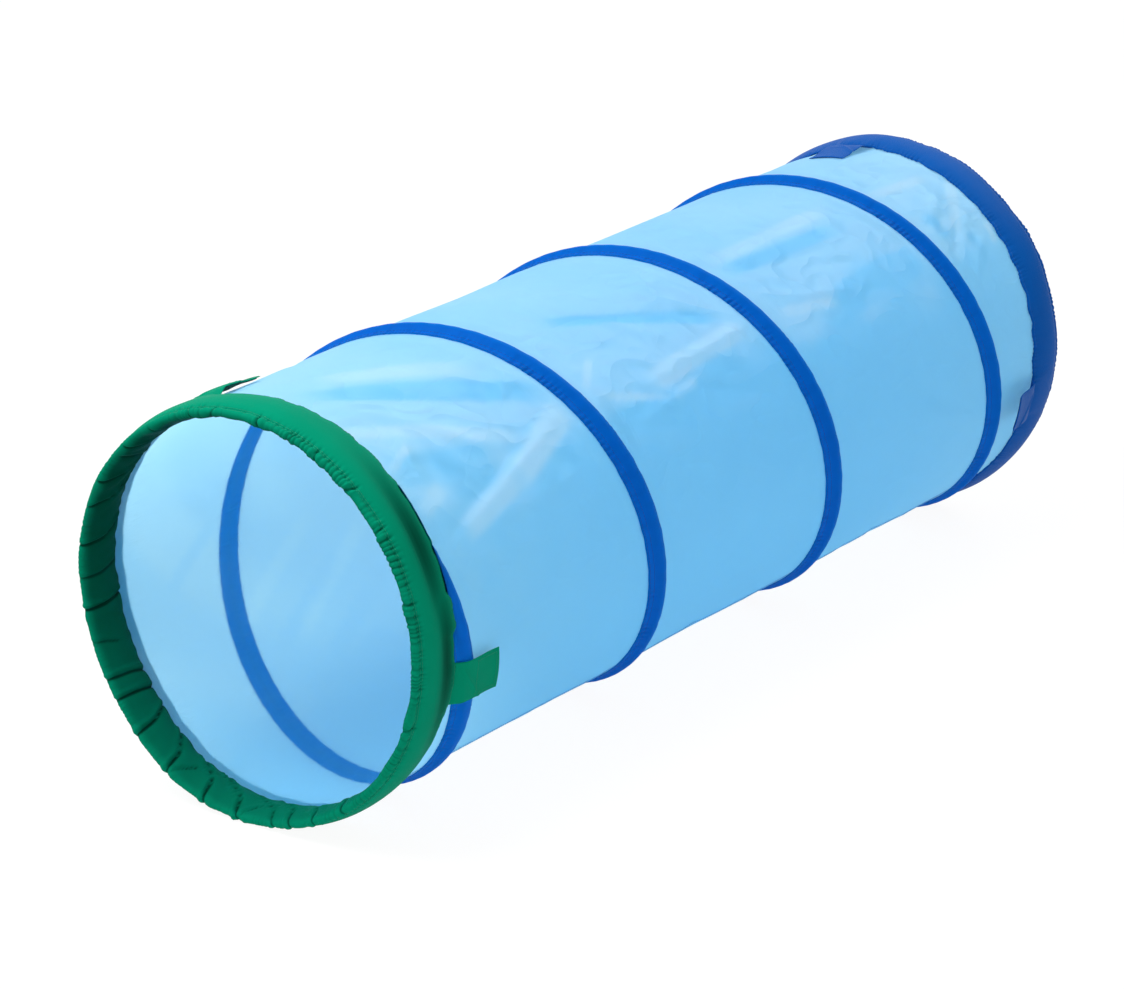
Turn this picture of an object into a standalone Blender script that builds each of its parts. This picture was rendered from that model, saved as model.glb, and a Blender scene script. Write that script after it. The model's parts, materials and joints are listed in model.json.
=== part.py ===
"""Kids play tunnel: a light fabric tube held open by two end hoops and a long spiral wire.

The tube lies on its side. The world frame has +Y along the tunnel, from the green hoop to the
blue one, +Z up and +X to the right. The origin is on the floor, under the crown of the green casing.
Round pieces are modelled in the tunnel's own frame: its Z runs along the tunnel, its X points up
and an angle turns from up towards the right.
"""

import math

import bmesh
import bpy
import numpy as np
from mathutils import Matrix, Vector

# Whole tunnel, in metres
TUNNEL_SPAN = 1.303
FABRIC_RADIUS = 0.2345
FABRIC_THICKNESS = 0.0008
FABRIC_WAIST = 0.003
FABRIC_WAIST_FADE = 0.060
FABRIC_TUCK = 0.015
FIT_GAP = 0.0003
FLOOR_FLAT = 0.0005
CUT_OVERRUN = 0.020
SEAM_REACH = 0.00001

# Hoop casings: the crown is the casing's widest line, the nose lies outside it, the skirts inside
CASING_WALL = 0.0010
CASING_RISE = 0.0100
FRONT_CASING_DROP = 0.0080
FRONT_CASING_NOSE = 0.0275
FRONT_CASING_SKIRT = 0.0450
FRONT_INNER_SKIRT = 0.0275
BACK_CASING_DROP = 0.0065
BACK_CASING_NOSE = 0.0220
BACK_CASING_SKIRT = 0.0350
BACK_INNER_SKIRT = 0.0210

# Hoop wires and the ferrules that join their ends
HOOP_WIRE_DIAMETER = 0.0030
HOOP_WIRE_END_GAP = 0.0010
FERRULE_GAP = 0.0002
FERRULE_WALL = 0.0004
FERRULE_LENGTH = 0.0240

# Spiral wire and the tape that is sewn over it
SPIRAL_WIRE_DIAMETER = 0.0030
SPIRAL_PITCH = 0.3724
TAPE_WIDTH = 0.0350
TAPE_WALL = 0.0008
TAPE_RISE = 0.0065

# Joining tabs with their hook and loop patches
TAB_THICKNESS = 0.0016
TAB_SEAT_FROM_LIP = 0.0090
TAB_WIDTH = 0.0520
FRONT_TAB_LENGTH = 0.0810
BACK_TAB_LENGTH = 0.0740
PATCH_THICKNESS = 0.0012
PATCH_MARGIN = 0.0030
PATCH_LENGTH = 0.0380

# Angles and counts
FACETS = 36
FABRIC_ROWS = 15
FERRULE_FACETS = 12
WIRE_ROUNDNESS = 1
SPIRAL_LEAVES_FRONT = math.radians(83.9)
FRONT_FERRULE_TURN = math.radians(65.0)
BACK_FERRULE_TURN = math.radians(205.0)
FRONT_TAB_TURNS = tuple(math.radians(a) for a in (100.5, 333.0))
FRONT_TAB_SLOPES = tuple(math.radians(a) for a in (5.0, 0.0))
BACK_TAB_TURNS = tuple(math.radians(a) for a in (102.5, 350.0))
BACK_TAB_SLOPES = tuple(math.radians(a) for a in (15.0, -1.0))

# Outlines, as shares of the sizes above: along the tunnel, then across it
SKIRT_SHARES = ((1.0, 0.0), (0.75, 0.48), (0.4, 0.85), (0.0, 1.0))
NOSE_SHARES = ((0.58, 0.86), (0.9, 0.58), (1.0, 0.25))
INNER_SKIRT_SHARES = ((0.0, 1.0), (0.5, 0.75), (1.0, 0.0))
TAPE_SHARES = (
    (-1.0, 0.0),
    (-0.62, 0.24),
    (-0.28, 0.82),
    (0.0, 1.0),
    (0.28, 0.82),
    (0.62, 0.24),
    (1.0, 0.0),
)

# Worked out from the sizes above
STEP = math.tau / FACETS
CROWN_RADIUS = FABRIC_RADIUS + CASING_RISE
AXIS_HEIGHT = CROWN_RADIUS * math.cos(STEP / 2) - FLOOR_FLAT
FABRIC_BORE = FABRIC_RADIUS - FABRIC_THICKNESS
FRONT_LIP = FRONT_CASING_SKIRT
BACK_LIP = TUNNEL_SPAN - BACK_CASING_SKIRT
HOOP_WIRE_RADIUS = HOOP_WIRE_DIAMETER / 2
SPIRAL_WIRE_RADIUS = SPIRAL_WIRE_DIAMETER / 2
FERRULE_BORE_RADIUS = HOOP_WIRE_RADIUS + FERRULE_GAP
FERRULE_RADIUS = FERRULE_BORE_RADIUS + FERRULE_WALL
CUTTER_REACH = CROWN_RADIUS + CUT_OVERRUN

GREEN = (0.0, 0.28, 0.12, 1.0)
BLUE = (0.01, 0.12, 0.62, 1.0)
SKY = (0.20, 0.58, 0.93, 1.0)
STEEL = (0.55, 0.56, 0.58, 1.0)
BLACK_GREEN = (0.0, 0.12, 0.06, 1.0)
BLACK_BLUE = (0.0, 0.04, 0.22, 1.0)


def clear_scene():
    """Remove every object that the scene starts with."""
    for obj in list(bpy.data.objects):
        bpy.data.objects.remove(obj, do_unlink=True)


def make_collection(name):
    """A new collection, linked to the scene."""
    collection = bpy.data.collections.new(name)
    bpy.context.scene.collection.children.link(collection)
    return collection


def make_material(name, colour, roughness, metallic=0.0):
    """A Principled material of one colour."""
    material = bpy.data.materials.new(name)
    material.use_nodes = True
    shader = material.node_tree.nodes["Principled BSDF"]
    shader.inputs["Base Color"].default_value = colour
    shader.inputs["Roughness"].default_value = roughness
    shader.inputs["Metallic"].default_value = metallic
    material.diffuse_color = colour
    return material


def add_empty(name, collection, parent=None, matrix=None):
    """An empty that places what is parented to it."""
    empty = bpy.data.objects.new(name, None)
    collection.objects.link(empty)
    empty.parent = parent
    if matrix is not None:
        empty.matrix_local = matrix
    return empty


def add_object(name, data, material, collection, parent, matrix=None):
    """A mesh or curve object with its own material, placed under its parent."""
    obj = bpy.data.objects.new(name, data)
    collection.objects.link(obj)
    obj.parent = parent
    if matrix is not None:
        obj.matrix_local = matrix
    if material is not None:
        obj.data.materials.append(material)
    return obj


def line_mesh(name, points, closed=False):
    """A mesh of edges through the given points."""
    mesh = bpy.data.meshes.new(name)
    edges = [(i, i + 1) for i in range(len(points) - 1)]
    if closed:
        edges.append((len(points) - 1, 0))
    mesh.from_pydata(points, edges, [])
    return mesh


def profile_mesh(name, outline, closed=False):
    """An outline of (radius, along) pairs as a mesh in the XZ plane, at +X."""
    return line_mesh(name, [(radius, 0.0, along) for radius, along in outline], closed)


def add_screw(obj, steps, turn=math.tau, rise=0.0):
    """Turn a profile about Z, and climb along Z where a rise is given."""
    screw = obj.modifiers.new("turned", "SCREW")
    screw.axis = "Z"
    screw.angle = turn
    screw.screw_offset = rise
    screw.steps = steps
    screw.render_steps = steps
    screw.use_smooth_shade = True
    screw.use_merge_vertices = rise == 0.0
    screw.merge_threshold = SEAM_REACH


def add_wall(obj, wall):
    """Give an open surface its wall, on the side that its faces look away from."""
    solidify = obj.modifiers.new("wall", "SOLIDIFY")
    solidify.thickness = wall
    solidify.offset = -1.0
    solidify.use_even_offset = True


def baked_mesh(obj):
    """A copy of the object's mesh as its modifiers leave it."""
    graph = bpy.context.evaluated_depsgraph_get()
    return bpy.data.meshes.new_from_object(obj.evaluated_get(graph))


def cut(obj, cutter):
    """Take the cutter's solid away from the object."""
    boolean = obj.modifiers.new("cut_" + cutter.name, "BOOLEAN")
    boolean.operation = "DIFFERENCE"
    boolean.solver = "EXACT"
    boolean.object = cutter


def box_mesh(name, low, high):
    """A box between two corners."""
    mesh = bpy.data.meshes.new(name)
    shape = bmesh.new()
    bmesh.ops.create_cube(shape, size=1.0)
    low, high = Vector(low), Vector(high)
    scale = Matrix.Diagonal((*(high - low), 1.0))
    shape.transform(Matrix.Translation((low + high) / 2) @ scale)
    shape.to_mesh(mesh)
    shape.free()
    return mesh


def add_cutter(name, low, high, collection, parent=None):
    """A hidden box that only serves to cut other pieces."""
    cutter = add_object(name, box_mesh(name, low, high), None, collection, parent)
    cutter.hide_render = True
    cutter.display_type = "WIRE"
    return cutter


def spiral_along(turn):
    """How far along the tunnel the spiral's centreline is at that angle."""
    return FRONT_LIP + SPIRAL_PITCH * (turn - SPIRAL_LEAVES_FRONT) / math.tau


def spiral_turn(along):
    """The angle at which the spiral's centreline is that far along the tunnel."""
    return SPIRAL_LEAVES_FRONT + math.tau * (along - FRONT_LIP) / SPIRAL_PITCH


def corner_turn(step):
    """The angle of a facet corner. Corners stand half a step off, so that a facet faces the floor."""
    return (step + 0.5) * STEP


def first_step_after(turn):
    """The first facet corner at or after an angle, counted in steps."""
    return math.ceil(turn / STEP - 0.5)


def last_step_before(turn):
    """The last facet corner at or before an angle, counted in steps."""
    return math.floor(turn / STEP - 0.5)


def casing_outline(nose_side, nose, skirt, inner_skirt, drop):
    """A hoop casing's outline, from the outer lip over the nose to the inner lip.

    nose_side is -1 where the nose points down the tunnel and 1 where it points up.
    """
    outer_seat = FABRIC_RADIUS + FIT_GAP + CASING_WALL
    inner_seat = FABRIC_BORE - FIT_GAP - CASING_WALL
    inner_crown = FABRIC_RADIUS - drop
    outline = []
    for along, rise in SKIRT_SHARES:
        radius = outer_seat + (CROWN_RADIUS - outer_seat) * rise
        outline.append((radius, -nose_side * skirt * along))
    for along, rise in NOSE_SHARES:
        outline.append((FABRIC_RADIUS + CASING_RISE * rise, nose_side * nose * along))
    for along, rise in reversed(NOSE_SHARES):
        outline.append((FABRIC_RADIUS - drop * rise, nose_side * nose * along))
    for along, rise in INNER_SKIRT_SHARES:
        radius = inner_seat + (inner_crown - inner_seat) * rise
        outline.append((radius, -nose_side * inner_skirt * along))
    return outline if nose_side < 0 else outline[::-1]


def tape_outline():
    """The outer face of the spiral's tape: two wings on the fabric and a hump over the wire."""
    seat = FABRIC_RADIUS + FIT_GAP + TAPE_WALL
    crown = FABRIC_RADIUS + TAPE_RISE
    half = TAPE_WIDTH / 2
    return [(seat + (crown - seat) * rise, half * along) for along, rise in reversed(TAPE_SHARES)]


def add_casing(name, outline, material, collection, parent, floor_cutter):
    """A hoop casing: a turned sleeve, open between its two lips, cut flat where it stands."""
    turned = Matrix.Rotation(corner_turn(0), 4, "Z")
    casing = add_object(name, profile_mesh(name, outline), material, collection, parent, turned)
    add_screw(casing, FACETS)
    add_wall(casing, CASING_WALL)
    cut(casing, floor_cutter)
    return casing


def hoop_wire_points(ferrule_turn):
    """The hoop wire's route: once round, with its two ends facing each other in the ferrule."""
    first = first_step_after(ferrule_turn)
    middle = corner_turn(first) - STEP / 2
    flat_radius = FABRIC_RADIUS * math.cos(STEP / 2)
    centre = Vector((math.cos(middle), math.sin(middle), 0.0)) * flat_radius
    tangent = Vector((-math.sin(middle), math.cos(middle), 0.0))
    points = [centre + tangent * HOOP_WIRE_END_GAP / 2]
    for step in range(first, first + FACETS):
        turn = corner_turn(step)
        points.append(Vector((math.cos(turn), math.sin(turn), 0.0)) * FABRIC_RADIUS)
    points.append(centre - tangent * HOOP_WIRE_END_GAP / 2)
    return points, centre, tangent


def add_wire(name, points, radius, material, collection, parent, matrix=None):
    """A round wire along a route, with closed ends."""
    curve = bpy.data.curves.new(name, "CURVE")
    curve.dimensions = "3D"
    curve.bevel_depth = radius
    curve.bevel_resolution = WIRE_ROUNDNESS
    curve.use_fill_caps = True
    spline = curve.splines.new("POLY")
    spline.points.add(len(points) - 1)
    for point, place in zip(spline.points, points):
        point.co = (*place, 1.0)
    return add_object(name, curve, material, collection, parent, matrix)


def add_hoop(prefix, wire_along, ferrule_turn, steel, collection, parent):
    """A hoop wire and the ferrule that its two ends are pushed into."""
    points, centre, tangent = hoop_wire_points(ferrule_turn)
    place = Matrix.Translation((0.0, 0.0, wire_along))
    add_wire(prefix + "_hoop_wire", points, HOOP_WIRE_RADIUS, steel, collection, parent, place)
    half = FERRULE_LENGTH / 2
    outline = [
        (FERRULE_BORE_RADIUS, half),
        (FERRULE_RADIUS, half),
        (FERRULE_RADIUS, -half),
        (FERRULE_BORE_RADIUS, -half),
    ]
    name = prefix + "_hoop_ferrule"
    turned = tangent.to_track_quat("Z", "X").to_matrix().to_4x4()
    matrix = place @ Matrix.Translation(centre) @ turned
    ferrule = add_object(name, profile_mesh(name, outline, True), steel, collection, parent, matrix)
    add_screw(ferrule, FERRULE_FACETS)


def least_gap(points, radius):
    """The least clear distance between a coiled wire's turns, measured on its points."""
    route = np.array([tuple(p) for p in points])
    half_turn = FACETS // 2
    nearest = math.inf
    for index in range(len(route) - half_turn):
        away = np.linalg.norm(route[index + half_turn:] - route[index], axis=1)
        nearest = min(nearest, float(away.min()))
    return nearest - 2 * radius


def add_spiral_wire(steel, collection, parent):
    """The spiral wire: one unbroken coil that lies on the fabric between the two casings."""
    low = FRONT_LIP + FIT_GAP + SPIRAL_WIRE_RADIUS
    high = BACK_LIP - FIT_GAP - SPIRAL_WIRE_RADIUS
    radius = FABRIC_RADIUS + FIT_GAP + SPIRAL_WIRE_RADIUS
    first = first_step_after(spiral_turn(low))
    last = last_step_before(spiral_turn(high))
    points = []
    for step in range(first, last + 1):
        turn = corner_turn(step)
        points.append(Vector((radius * math.cos(turn), radius * math.sin(turn), spiral_along(turn))))
    add_wire("spiral_wire", points, SPIRAL_WIRE_RADIUS, steel, collection, parent)
    gap = least_gap(points, SPIRAL_WIRE_RADIUS)
    print(f"spiral_wire: {(last - first) / FACETS:.2f} turns, least gap to itself {gap * 1000:.1f} mm")


def add_spiral_tape(material, collection, parent, end_cutters):
    """The tape over the spiral wire, which runs on under both casings' lips and is trimmed there."""
    half = TAPE_WIDTH / 2
    first = last_step_before(spiral_turn(FRONT_LIP - half))
    last = first_step_after(spiral_turn(BACK_LIP + half))
    start = corner_turn(first)
    matrix = Matrix.Translation((0.0, 0.0, spiral_along(start))) @ Matrix.Rotation(start, 4, "Z")
    name = "spiral_casing"
    tape = add_object(name, profile_mesh(name, tape_outline()), material, collection, parent, matrix)
    turn = (last - first) * STEP
    add_screw(tape, last - first, turn, SPIRAL_PITCH * turn / math.tau)
    add_wall(tape, TAPE_WALL)
    for cutter in end_cutters:
        cut(tape, cutter)


def fabric_waist(turn, along):
    """How far the fabric is drawn in at a place, between two turns of the spiral."""
    share = (along - spiral_along(turn)) / SPIRAL_PITCH
    fade = min(along - FRONT_LIP, BACK_LIP - along) / FABRIC_WAIST_FADE
    fade = max(0.0, min(1.0, fade))
    return FABRIC_WAIST * math.sin(math.pi * share) ** 2 * fade


def add_fabric(material, collection, parent):
    """The tunnel's fabric: a tube with its waist between turns and its ends in the casings."""
    start = FRONT_INNER_SKIRT - FABRIC_TUCK
    end = TUNNEL_SPAN - BACK_INNER_SKIRT + FABRIC_TUCK
    gaps = FABRIC_ROWS - 1
    rows = [end, *(BACK_LIP + (FRONT_LIP - BACK_LIP) * i / gaps for i in range(FABRIC_ROWS)), start]
    name = "tunnel_fabric"
    blank = add_object(
        name + "_blank",
        profile_mesh(name + "_blank", [(FABRIC_RADIUS, along) for along in rows]),
        None,
        collection,
        parent,
    )
    add_screw(blank, FACETS)
    mesh = baked_mesh(blank)
    bpy.data.objects.remove(blank, do_unlink=True)
    mesh.transform(Matrix.Rotation(corner_turn(0), 4, "Z"))
    for vertex in mesh.vertices:
        turn = math.atan2(vertex.co.y, vertex.co.x)
        radius = FABRIC_RADIUS - fabric_waist(turn, vertex.co.z)
        vertex.co.x = radius * math.cos(turn)
        vertex.co.y = radius * math.sin(turn)
    mesh.name = name
    tube = add_object(name, mesh, material, collection, parent)
    add_wall(tube, FABRIC_THICKNESS)


def seat_radius(seat_share):
    """The casing's outer radius at that share of its skirt."""
    outer_seat = FABRIC_RADIUS + FIT_GAP + CASING_WALL
    below = sorted(SKIRT_SHARES)
    for (near, high), (far, low) in zip(below, below[1:]):
        if near <= seat_share <= far:
            rise = high + (low - high) * (seat_share - near) / (far - near)
            return outer_seat + (CROWN_RADIUS - outer_seat) * rise
    return outer_seat


def seat_reach(turn, width, radius):
    """How far the facet corners under a tab's width reach towards it, as a share of the radius."""
    half = math.asin(width / 2 / radius)
    under = range(first_step_after(turn - half), last_step_before(turn + half) + 1)
    return max(math.cos(corner_turn(step) - turn) for step in under)


def add_tab(names, place, side, skirt, sizes, materials, collection, parent):
    """A joining tab, hinged on its casing's skirt, with its patch on the underside.

    place is the tab's turn and slope. side is 1 where it points up the tunnel and -1 where it
    points down.
    """
    name, patch_name = names
    turn, slope = place
    width, length, patch_length = sizes
    seat = skirt - TAB_SEAT_FROM_LIP
    radius = seat_radius(seat / skirt)
    radius = radius * seat_reach(turn, width, radius) + FIT_GAP + TAB_THICKNESS / 2
    around = Matrix.Rotation(turn, 4, "Z")
    out = Matrix.Translation((radius, 0.0, side * seat))
    tilt = Matrix.Rotation(side * slope, 4, "Y")
    pivot = add_empty(name + "_hinge", collection, parent, around @ out @ tilt)
    half = TAB_THICKNESS / 2
    ends = sorted((0.0, side * length))
    strap = box_mesh(name, (-half, -width / 2, ends[0]), (half, width / 2, ends[1]))
    add_object(name, strap, materials[0], collection, pivot)
    top = -half - FIT_GAP
    across = width / 2 - PATCH_MARGIN
    tip = length - PATCH_MARGIN
    ends = sorted((side * (tip - patch_length), side * tip))
    patch = box_mesh(patch_name, (top - PATCH_THICKNESS, -across, ends[0]), (top, across, ends[1]))
    add_object(patch_name, patch, materials[1], collection, pivot)


def build():
    """Make the whole tunnel."""
    clear_scene()
    parts = make_collection("kids_play_tunnel")
    cutters = make_collection("cutters")

    green_cloth = make_material("green_cloth", GREEN, 0.75)
    blue_cloth = make_material("blue_cloth", BLUE, 0.75)
    blue_tape = make_material("blue_tape", BLUE, 0.7)
    sky_fabric = make_material("sky_fabric", SKY, 0.6)
    spring_steel = make_material("spring_steel", STEEL, 0.35, 1.0)
    green_hooks = make_material("green_hooks", BLACK_GREEN, 0.95)
    blue_loops = make_material("blue_loops", BLACK_BLUE, 0.95)

    upright = Matrix(((0, 1, 0), (0, 0, 1), (1, 0, 0))).to_4x4()
    raised = Matrix.Translation((0.0, 0.0, AXIS_HEIGHT))
    axis = add_empty("tunnel_axis", parts, None, raised @ upright)
    back_end = add_empty("back_end_slider", parts, axis, Matrix.Translation((0.0, 0.0, TUNNEL_SPAN)))

    reach = CUTTER_REACH
    below = -FRONT_CASING_NOSE - CUT_OVERRUN
    above = TUNNEL_SPAN + BACK_CASING_NOSE + CUT_OVERRUN
    floor = add_cutter("floor_cutter", (-reach, below, -CUT_OVERRUN), (reach, above, 0.0), cutters)
    front_low = (-reach, -reach, below)
    front_high = (reach, reach, FRONT_LIP + FIT_GAP)
    back_low = (-reach, -reach, BACK_LIP - FIT_GAP)
    back_high = (reach, reach, above)
    tape_trims = [
        add_cutter("front_tape_trim", front_low, front_high, cutters, axis),
        add_cutter("back_tape_trim", back_low, back_high, cutters, axis),
    ]

    front_sizes = (FRONT_CASING_NOSE, FRONT_CASING_SKIRT, FRONT_INNER_SKIRT, FRONT_CASING_DROP)
    back_sizes = (BACK_CASING_NOSE, BACK_CASING_SKIRT, BACK_INNER_SKIRT, BACK_CASING_DROP)
    front_outline = casing_outline(-1, *front_sizes)
    back_outline = casing_outline(1, *back_sizes)
    add_casing("front_casing", front_outline, green_cloth, parts, axis, floor)
    add_casing("back_casing", back_outline, blue_cloth, parts, back_end, floor)

    inset = CASING_WALL + FIT_GAP + FERRULE_RADIUS
    add_hoop("front", inset - FRONT_CASING_NOSE, FRONT_FERRULE_TURN, spring_steel, parts, axis)
    add_hoop("back", BACK_CASING_NOSE - inset, BACK_FERRULE_TURN, spring_steel, parts, back_end)

    add_fabric(sky_fabric, parts, axis)
    add_spiral_wire(spring_steel, parts, axis)
    add_spiral_tape(blue_tape, parts, axis, tape_trims)

    tab_sizes = (TAB_WIDTH, FRONT_TAB_LENGTH, PATCH_LENGTH)
    cloths = (green_cloth, green_hooks)
    for number, place in enumerate(zip(FRONT_TAB_TURNS, FRONT_TAB_SLOPES), 1):
        names = (f"front_tab_{number}", f"front_tab_{number}_hooks")
        add_tab(names, place, 1, FRONT_CASING_SKIRT, tab_sizes, cloths, parts, axis)

    tab_sizes = (TAB_WIDTH, BACK_TAB_LENGTH, PATCH_LENGTH)
    cloths = (blue_cloth, blue_loops)
    for number, place in enumerate(zip(BACK_TAB_TURNS, BACK_TAB_SLOPES), 1):
        names = (f"back_tab_{number}", f"back_tab_{number}_loops")
        add_tab(names, place, -1, BACK_CASING_SKIRT, tab_sizes, cloths, parts, back_end)

    bpy.context.view_layer.update()


build()
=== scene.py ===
"""The kids play tunnel's cloth, seams and fittings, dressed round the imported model.

Metres. +Y runs along the tunnel from the green hoop to the blue one, and +Z is up. A place on the
tunnel is a turn in radians, from straight up towards +X, a distance along and a radius from the axis.
"""

from __future__ import annotations

import json
import logging
import math
from dataclasses import dataclass, field
from enum import Enum
from typing import Any, Sequence

import bpy
import numpy as np
from mathutils import Matrix, Vector


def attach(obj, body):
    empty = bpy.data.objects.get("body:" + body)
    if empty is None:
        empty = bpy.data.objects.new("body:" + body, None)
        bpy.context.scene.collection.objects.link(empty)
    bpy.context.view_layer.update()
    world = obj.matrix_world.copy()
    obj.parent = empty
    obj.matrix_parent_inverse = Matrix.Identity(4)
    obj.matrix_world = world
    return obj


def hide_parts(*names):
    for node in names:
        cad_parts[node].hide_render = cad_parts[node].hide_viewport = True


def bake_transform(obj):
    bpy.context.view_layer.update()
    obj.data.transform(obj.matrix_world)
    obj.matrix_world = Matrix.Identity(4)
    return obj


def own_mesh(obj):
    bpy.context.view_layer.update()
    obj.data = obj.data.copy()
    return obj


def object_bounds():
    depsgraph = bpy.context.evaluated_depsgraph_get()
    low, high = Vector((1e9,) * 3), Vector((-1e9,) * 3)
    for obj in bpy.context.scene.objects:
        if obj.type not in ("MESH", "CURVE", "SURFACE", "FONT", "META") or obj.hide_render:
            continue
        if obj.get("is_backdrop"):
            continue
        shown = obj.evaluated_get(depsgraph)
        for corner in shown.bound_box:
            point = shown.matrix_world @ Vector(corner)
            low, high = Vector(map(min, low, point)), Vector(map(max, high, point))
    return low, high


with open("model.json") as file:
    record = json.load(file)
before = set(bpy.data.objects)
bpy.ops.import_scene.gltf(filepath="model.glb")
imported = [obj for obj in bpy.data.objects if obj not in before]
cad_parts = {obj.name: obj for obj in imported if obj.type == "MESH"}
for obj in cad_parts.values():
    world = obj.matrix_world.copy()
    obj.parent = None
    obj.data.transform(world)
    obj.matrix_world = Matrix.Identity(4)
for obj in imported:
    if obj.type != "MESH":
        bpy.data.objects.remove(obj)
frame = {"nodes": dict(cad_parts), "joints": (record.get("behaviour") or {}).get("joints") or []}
CAD_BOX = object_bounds()

LOG = logging.getLogger("play_tunnel")
PHOTO_WIDTH = 1124
PHOTO_HEIGHT = 989
FULL_TURN = 2 * math.pi
LENGTH_JOINT = "tunnel_length"

UNDER_LIP = 0.004
STITCH_LIFT = 0.0001
THREAD_RADIUS = 0.0002
WHITE = (1.0, 1.0, 1.0, 1.0)

Array = np.ndarray
Colour = tuple[float, float, float]
Material = bpy.types.Material
Mesh = bpy.types.Mesh
Node = bpy.types.Node
Piece = bpy.types.Object
Socket = bpy.types.NodeSocket


# Places on the tunnel


@dataclass(frozen=True)
class TunnelSizes:
    """The sizes that the tunnel's pieces share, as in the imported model."""

    axis_height: float = 0.24307
    span: float = 1.303
    fabric_radius: float = 0.2345
    front_lip: float = 0.045
    back_lip: float = 1.268
    pitch: float = 0.3724
    spiral_leaves: float = math.radians(83.9)
    wire_radius: float = 0.0015
    wire_room: float = 0.0024
    fit_gap: float = 0.0003
    floor_rest: float = 0.0002
    front_shape: tuple[tuple[float, float], ...] = (
        (0.0, 0.0), (150.0, 0.0), (180.0, 0.0022), (200.0, 0.0036), (210.0, 0.0026), (222.0, -0.0016),
        (236.0, -0.0050), (252.0, -0.0050), (266.0, -0.0034), (280.0, -0.0006), (300.0, 0.0),
    )

    def spiral_along(self, turn: Array | float) -> Array | float:
        """How far along the spiral's centreline is at a turn."""
        return self.front_lip + self.pitch * (turn - self.spiral_leaves) / FULL_TURN

    def spiral_turn(self, along: float) -> float:
        """The turn at which the spiral's centreline is that far along."""
        return self.spiral_leaves + FULL_TURN * (along - self.front_lip) / self.pitch

    def bulge(self, turn: Array | float, along: Array | float) -> Array | float:
        """How far the tube stands out of round: at its front like the hoop, and high up on one side between."""
        ends = smooth_step((np.minimum(along - self.front_lip, self.back_lip - along) - 0.004) / 0.045)
        high = 0.0034 * bell(gap_at(turn, 332.0), math.radians(34.0)) * ends
        return high + ring_offset(self.front_shape, turn) * smooth_step((0.15 - along) / 0.10)

    def place(self, turn: Array | float, along: Array | float, radius: Array | float) -> Array:
        """The points at the given turns, distances along and radii.

        Args:
            turn: Turns in radians.
            along: Distances along the tunnel.
            radius: Distances from the tunnel's axis.

        Returns:
            An array of points, with the coordinates on its last axis.
        """
        turn, along, radius = np.broadcast_arrays(turn, along, radius)
        return np.stack((radius * np.sin(turn), along, self.axis_height + radius * np.cos(turn)), axis=-1)


def smooth_step(value: Array | float) -> Array | float:
    """Smooth rise from 0 at 0 to 1 at 1."""
    value = np.clip(value, 0.0, 1.0)
    return value * value * (3 - 2 * value)


def bell(distance: Array | float, width: float) -> Array | float:
    """A bell curve of the given width, 1 at no distance."""
    return np.exp(-((distance / width) ** 2))


def turn_gap(turn: Array | float, centre: float) -> Array | float:
    """The signed turn from a centre, the short way round."""
    return (turn - centre + math.pi) % FULL_TURN - math.pi


def gap_at(turn: Array | float, degrees: float) -> Array | float:
    """The signed turn from a centre in degrees, the short way round."""
    return turn_gap(turn, math.radians(degrees))


def ring_offset(shape: Sequence[tuple[float, float]], turn: Array | float) -> Array | float:
    """How far a ring is out of round at turns, from its offsets at turns in degrees."""
    known = np.array(shape)
    at = np.radians(known[:, 0])
    at = np.concatenate((at - FULL_TURN, at, at + FULL_TURN))
    offsets = np.tile(known[:, 1], 3)
    return sum(np.interp((turn + shift) % FULL_TURN, at, offsets) for shift in np.linspace(-0.12, 0.12, 7)) / 7


TUNNEL = TunnelSizes()


def ring_waves(turn: Array, along: Array, waves: tuple[int, int], per_metre: float, count: int, seed: int) -> Array:
    """Soft random waves that close up round the tunnel.

    Args:
        turn: Turns in radians.
        along: Distances along the tunnel.
        waves: The fewest and most waves in a full turn.
        per_metre: The most waves in a metre along the tunnel.
        count: How many waves are summed.
        seed: The seed of the random draws.

    Returns:
        Heights of about one unit.
    """
    draws = np.random.default_rng(seed)
    total = np.zeros(np.broadcast(turn, along).shape)
    for _ in range(count):
        around = draws.integers(waves[0], waves[1] + 1)
        lengthwise = FULL_TURN * per_metre * draws.uniform(-1.0, 1.0)
        total = total + np.cos(around * turn + lengthwise * along + draws.uniform(0.0, FULL_TURN))
    return total / math.sqrt(count)


def pleats(turn: Array, across: Array, count: int, seed: int) -> Array:
    """Irregular pleats round the tunnel, with rounded tops and sharp valleys.

    Args:
        turn: Turns in radians.
        across: Distances across the cloth.
        count: How many valleys a full turn has.
        seed: The seed of the random draws.

    Returns:
        Heights of about one unit, with a mean near 0.
    """
    drift = 1.3 * ring_waves(turn, across, (12, 34), 9.0, 7, seed)
    drift = drift + 0.7 * ring_waves(turn, across, (40, 90), 14.0, 7, seed + 9)
    valley = np.abs(np.sin(0.5 * count * turn + drift))
    strength = np.clip(0.75 + 0.5 * ring_waves(turn, 0.0 * across, (7, 31), 0.0, 7, seed + 17), 0.1, 1.5)
    return (valley - 0.64) * 2.2 * strength


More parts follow.
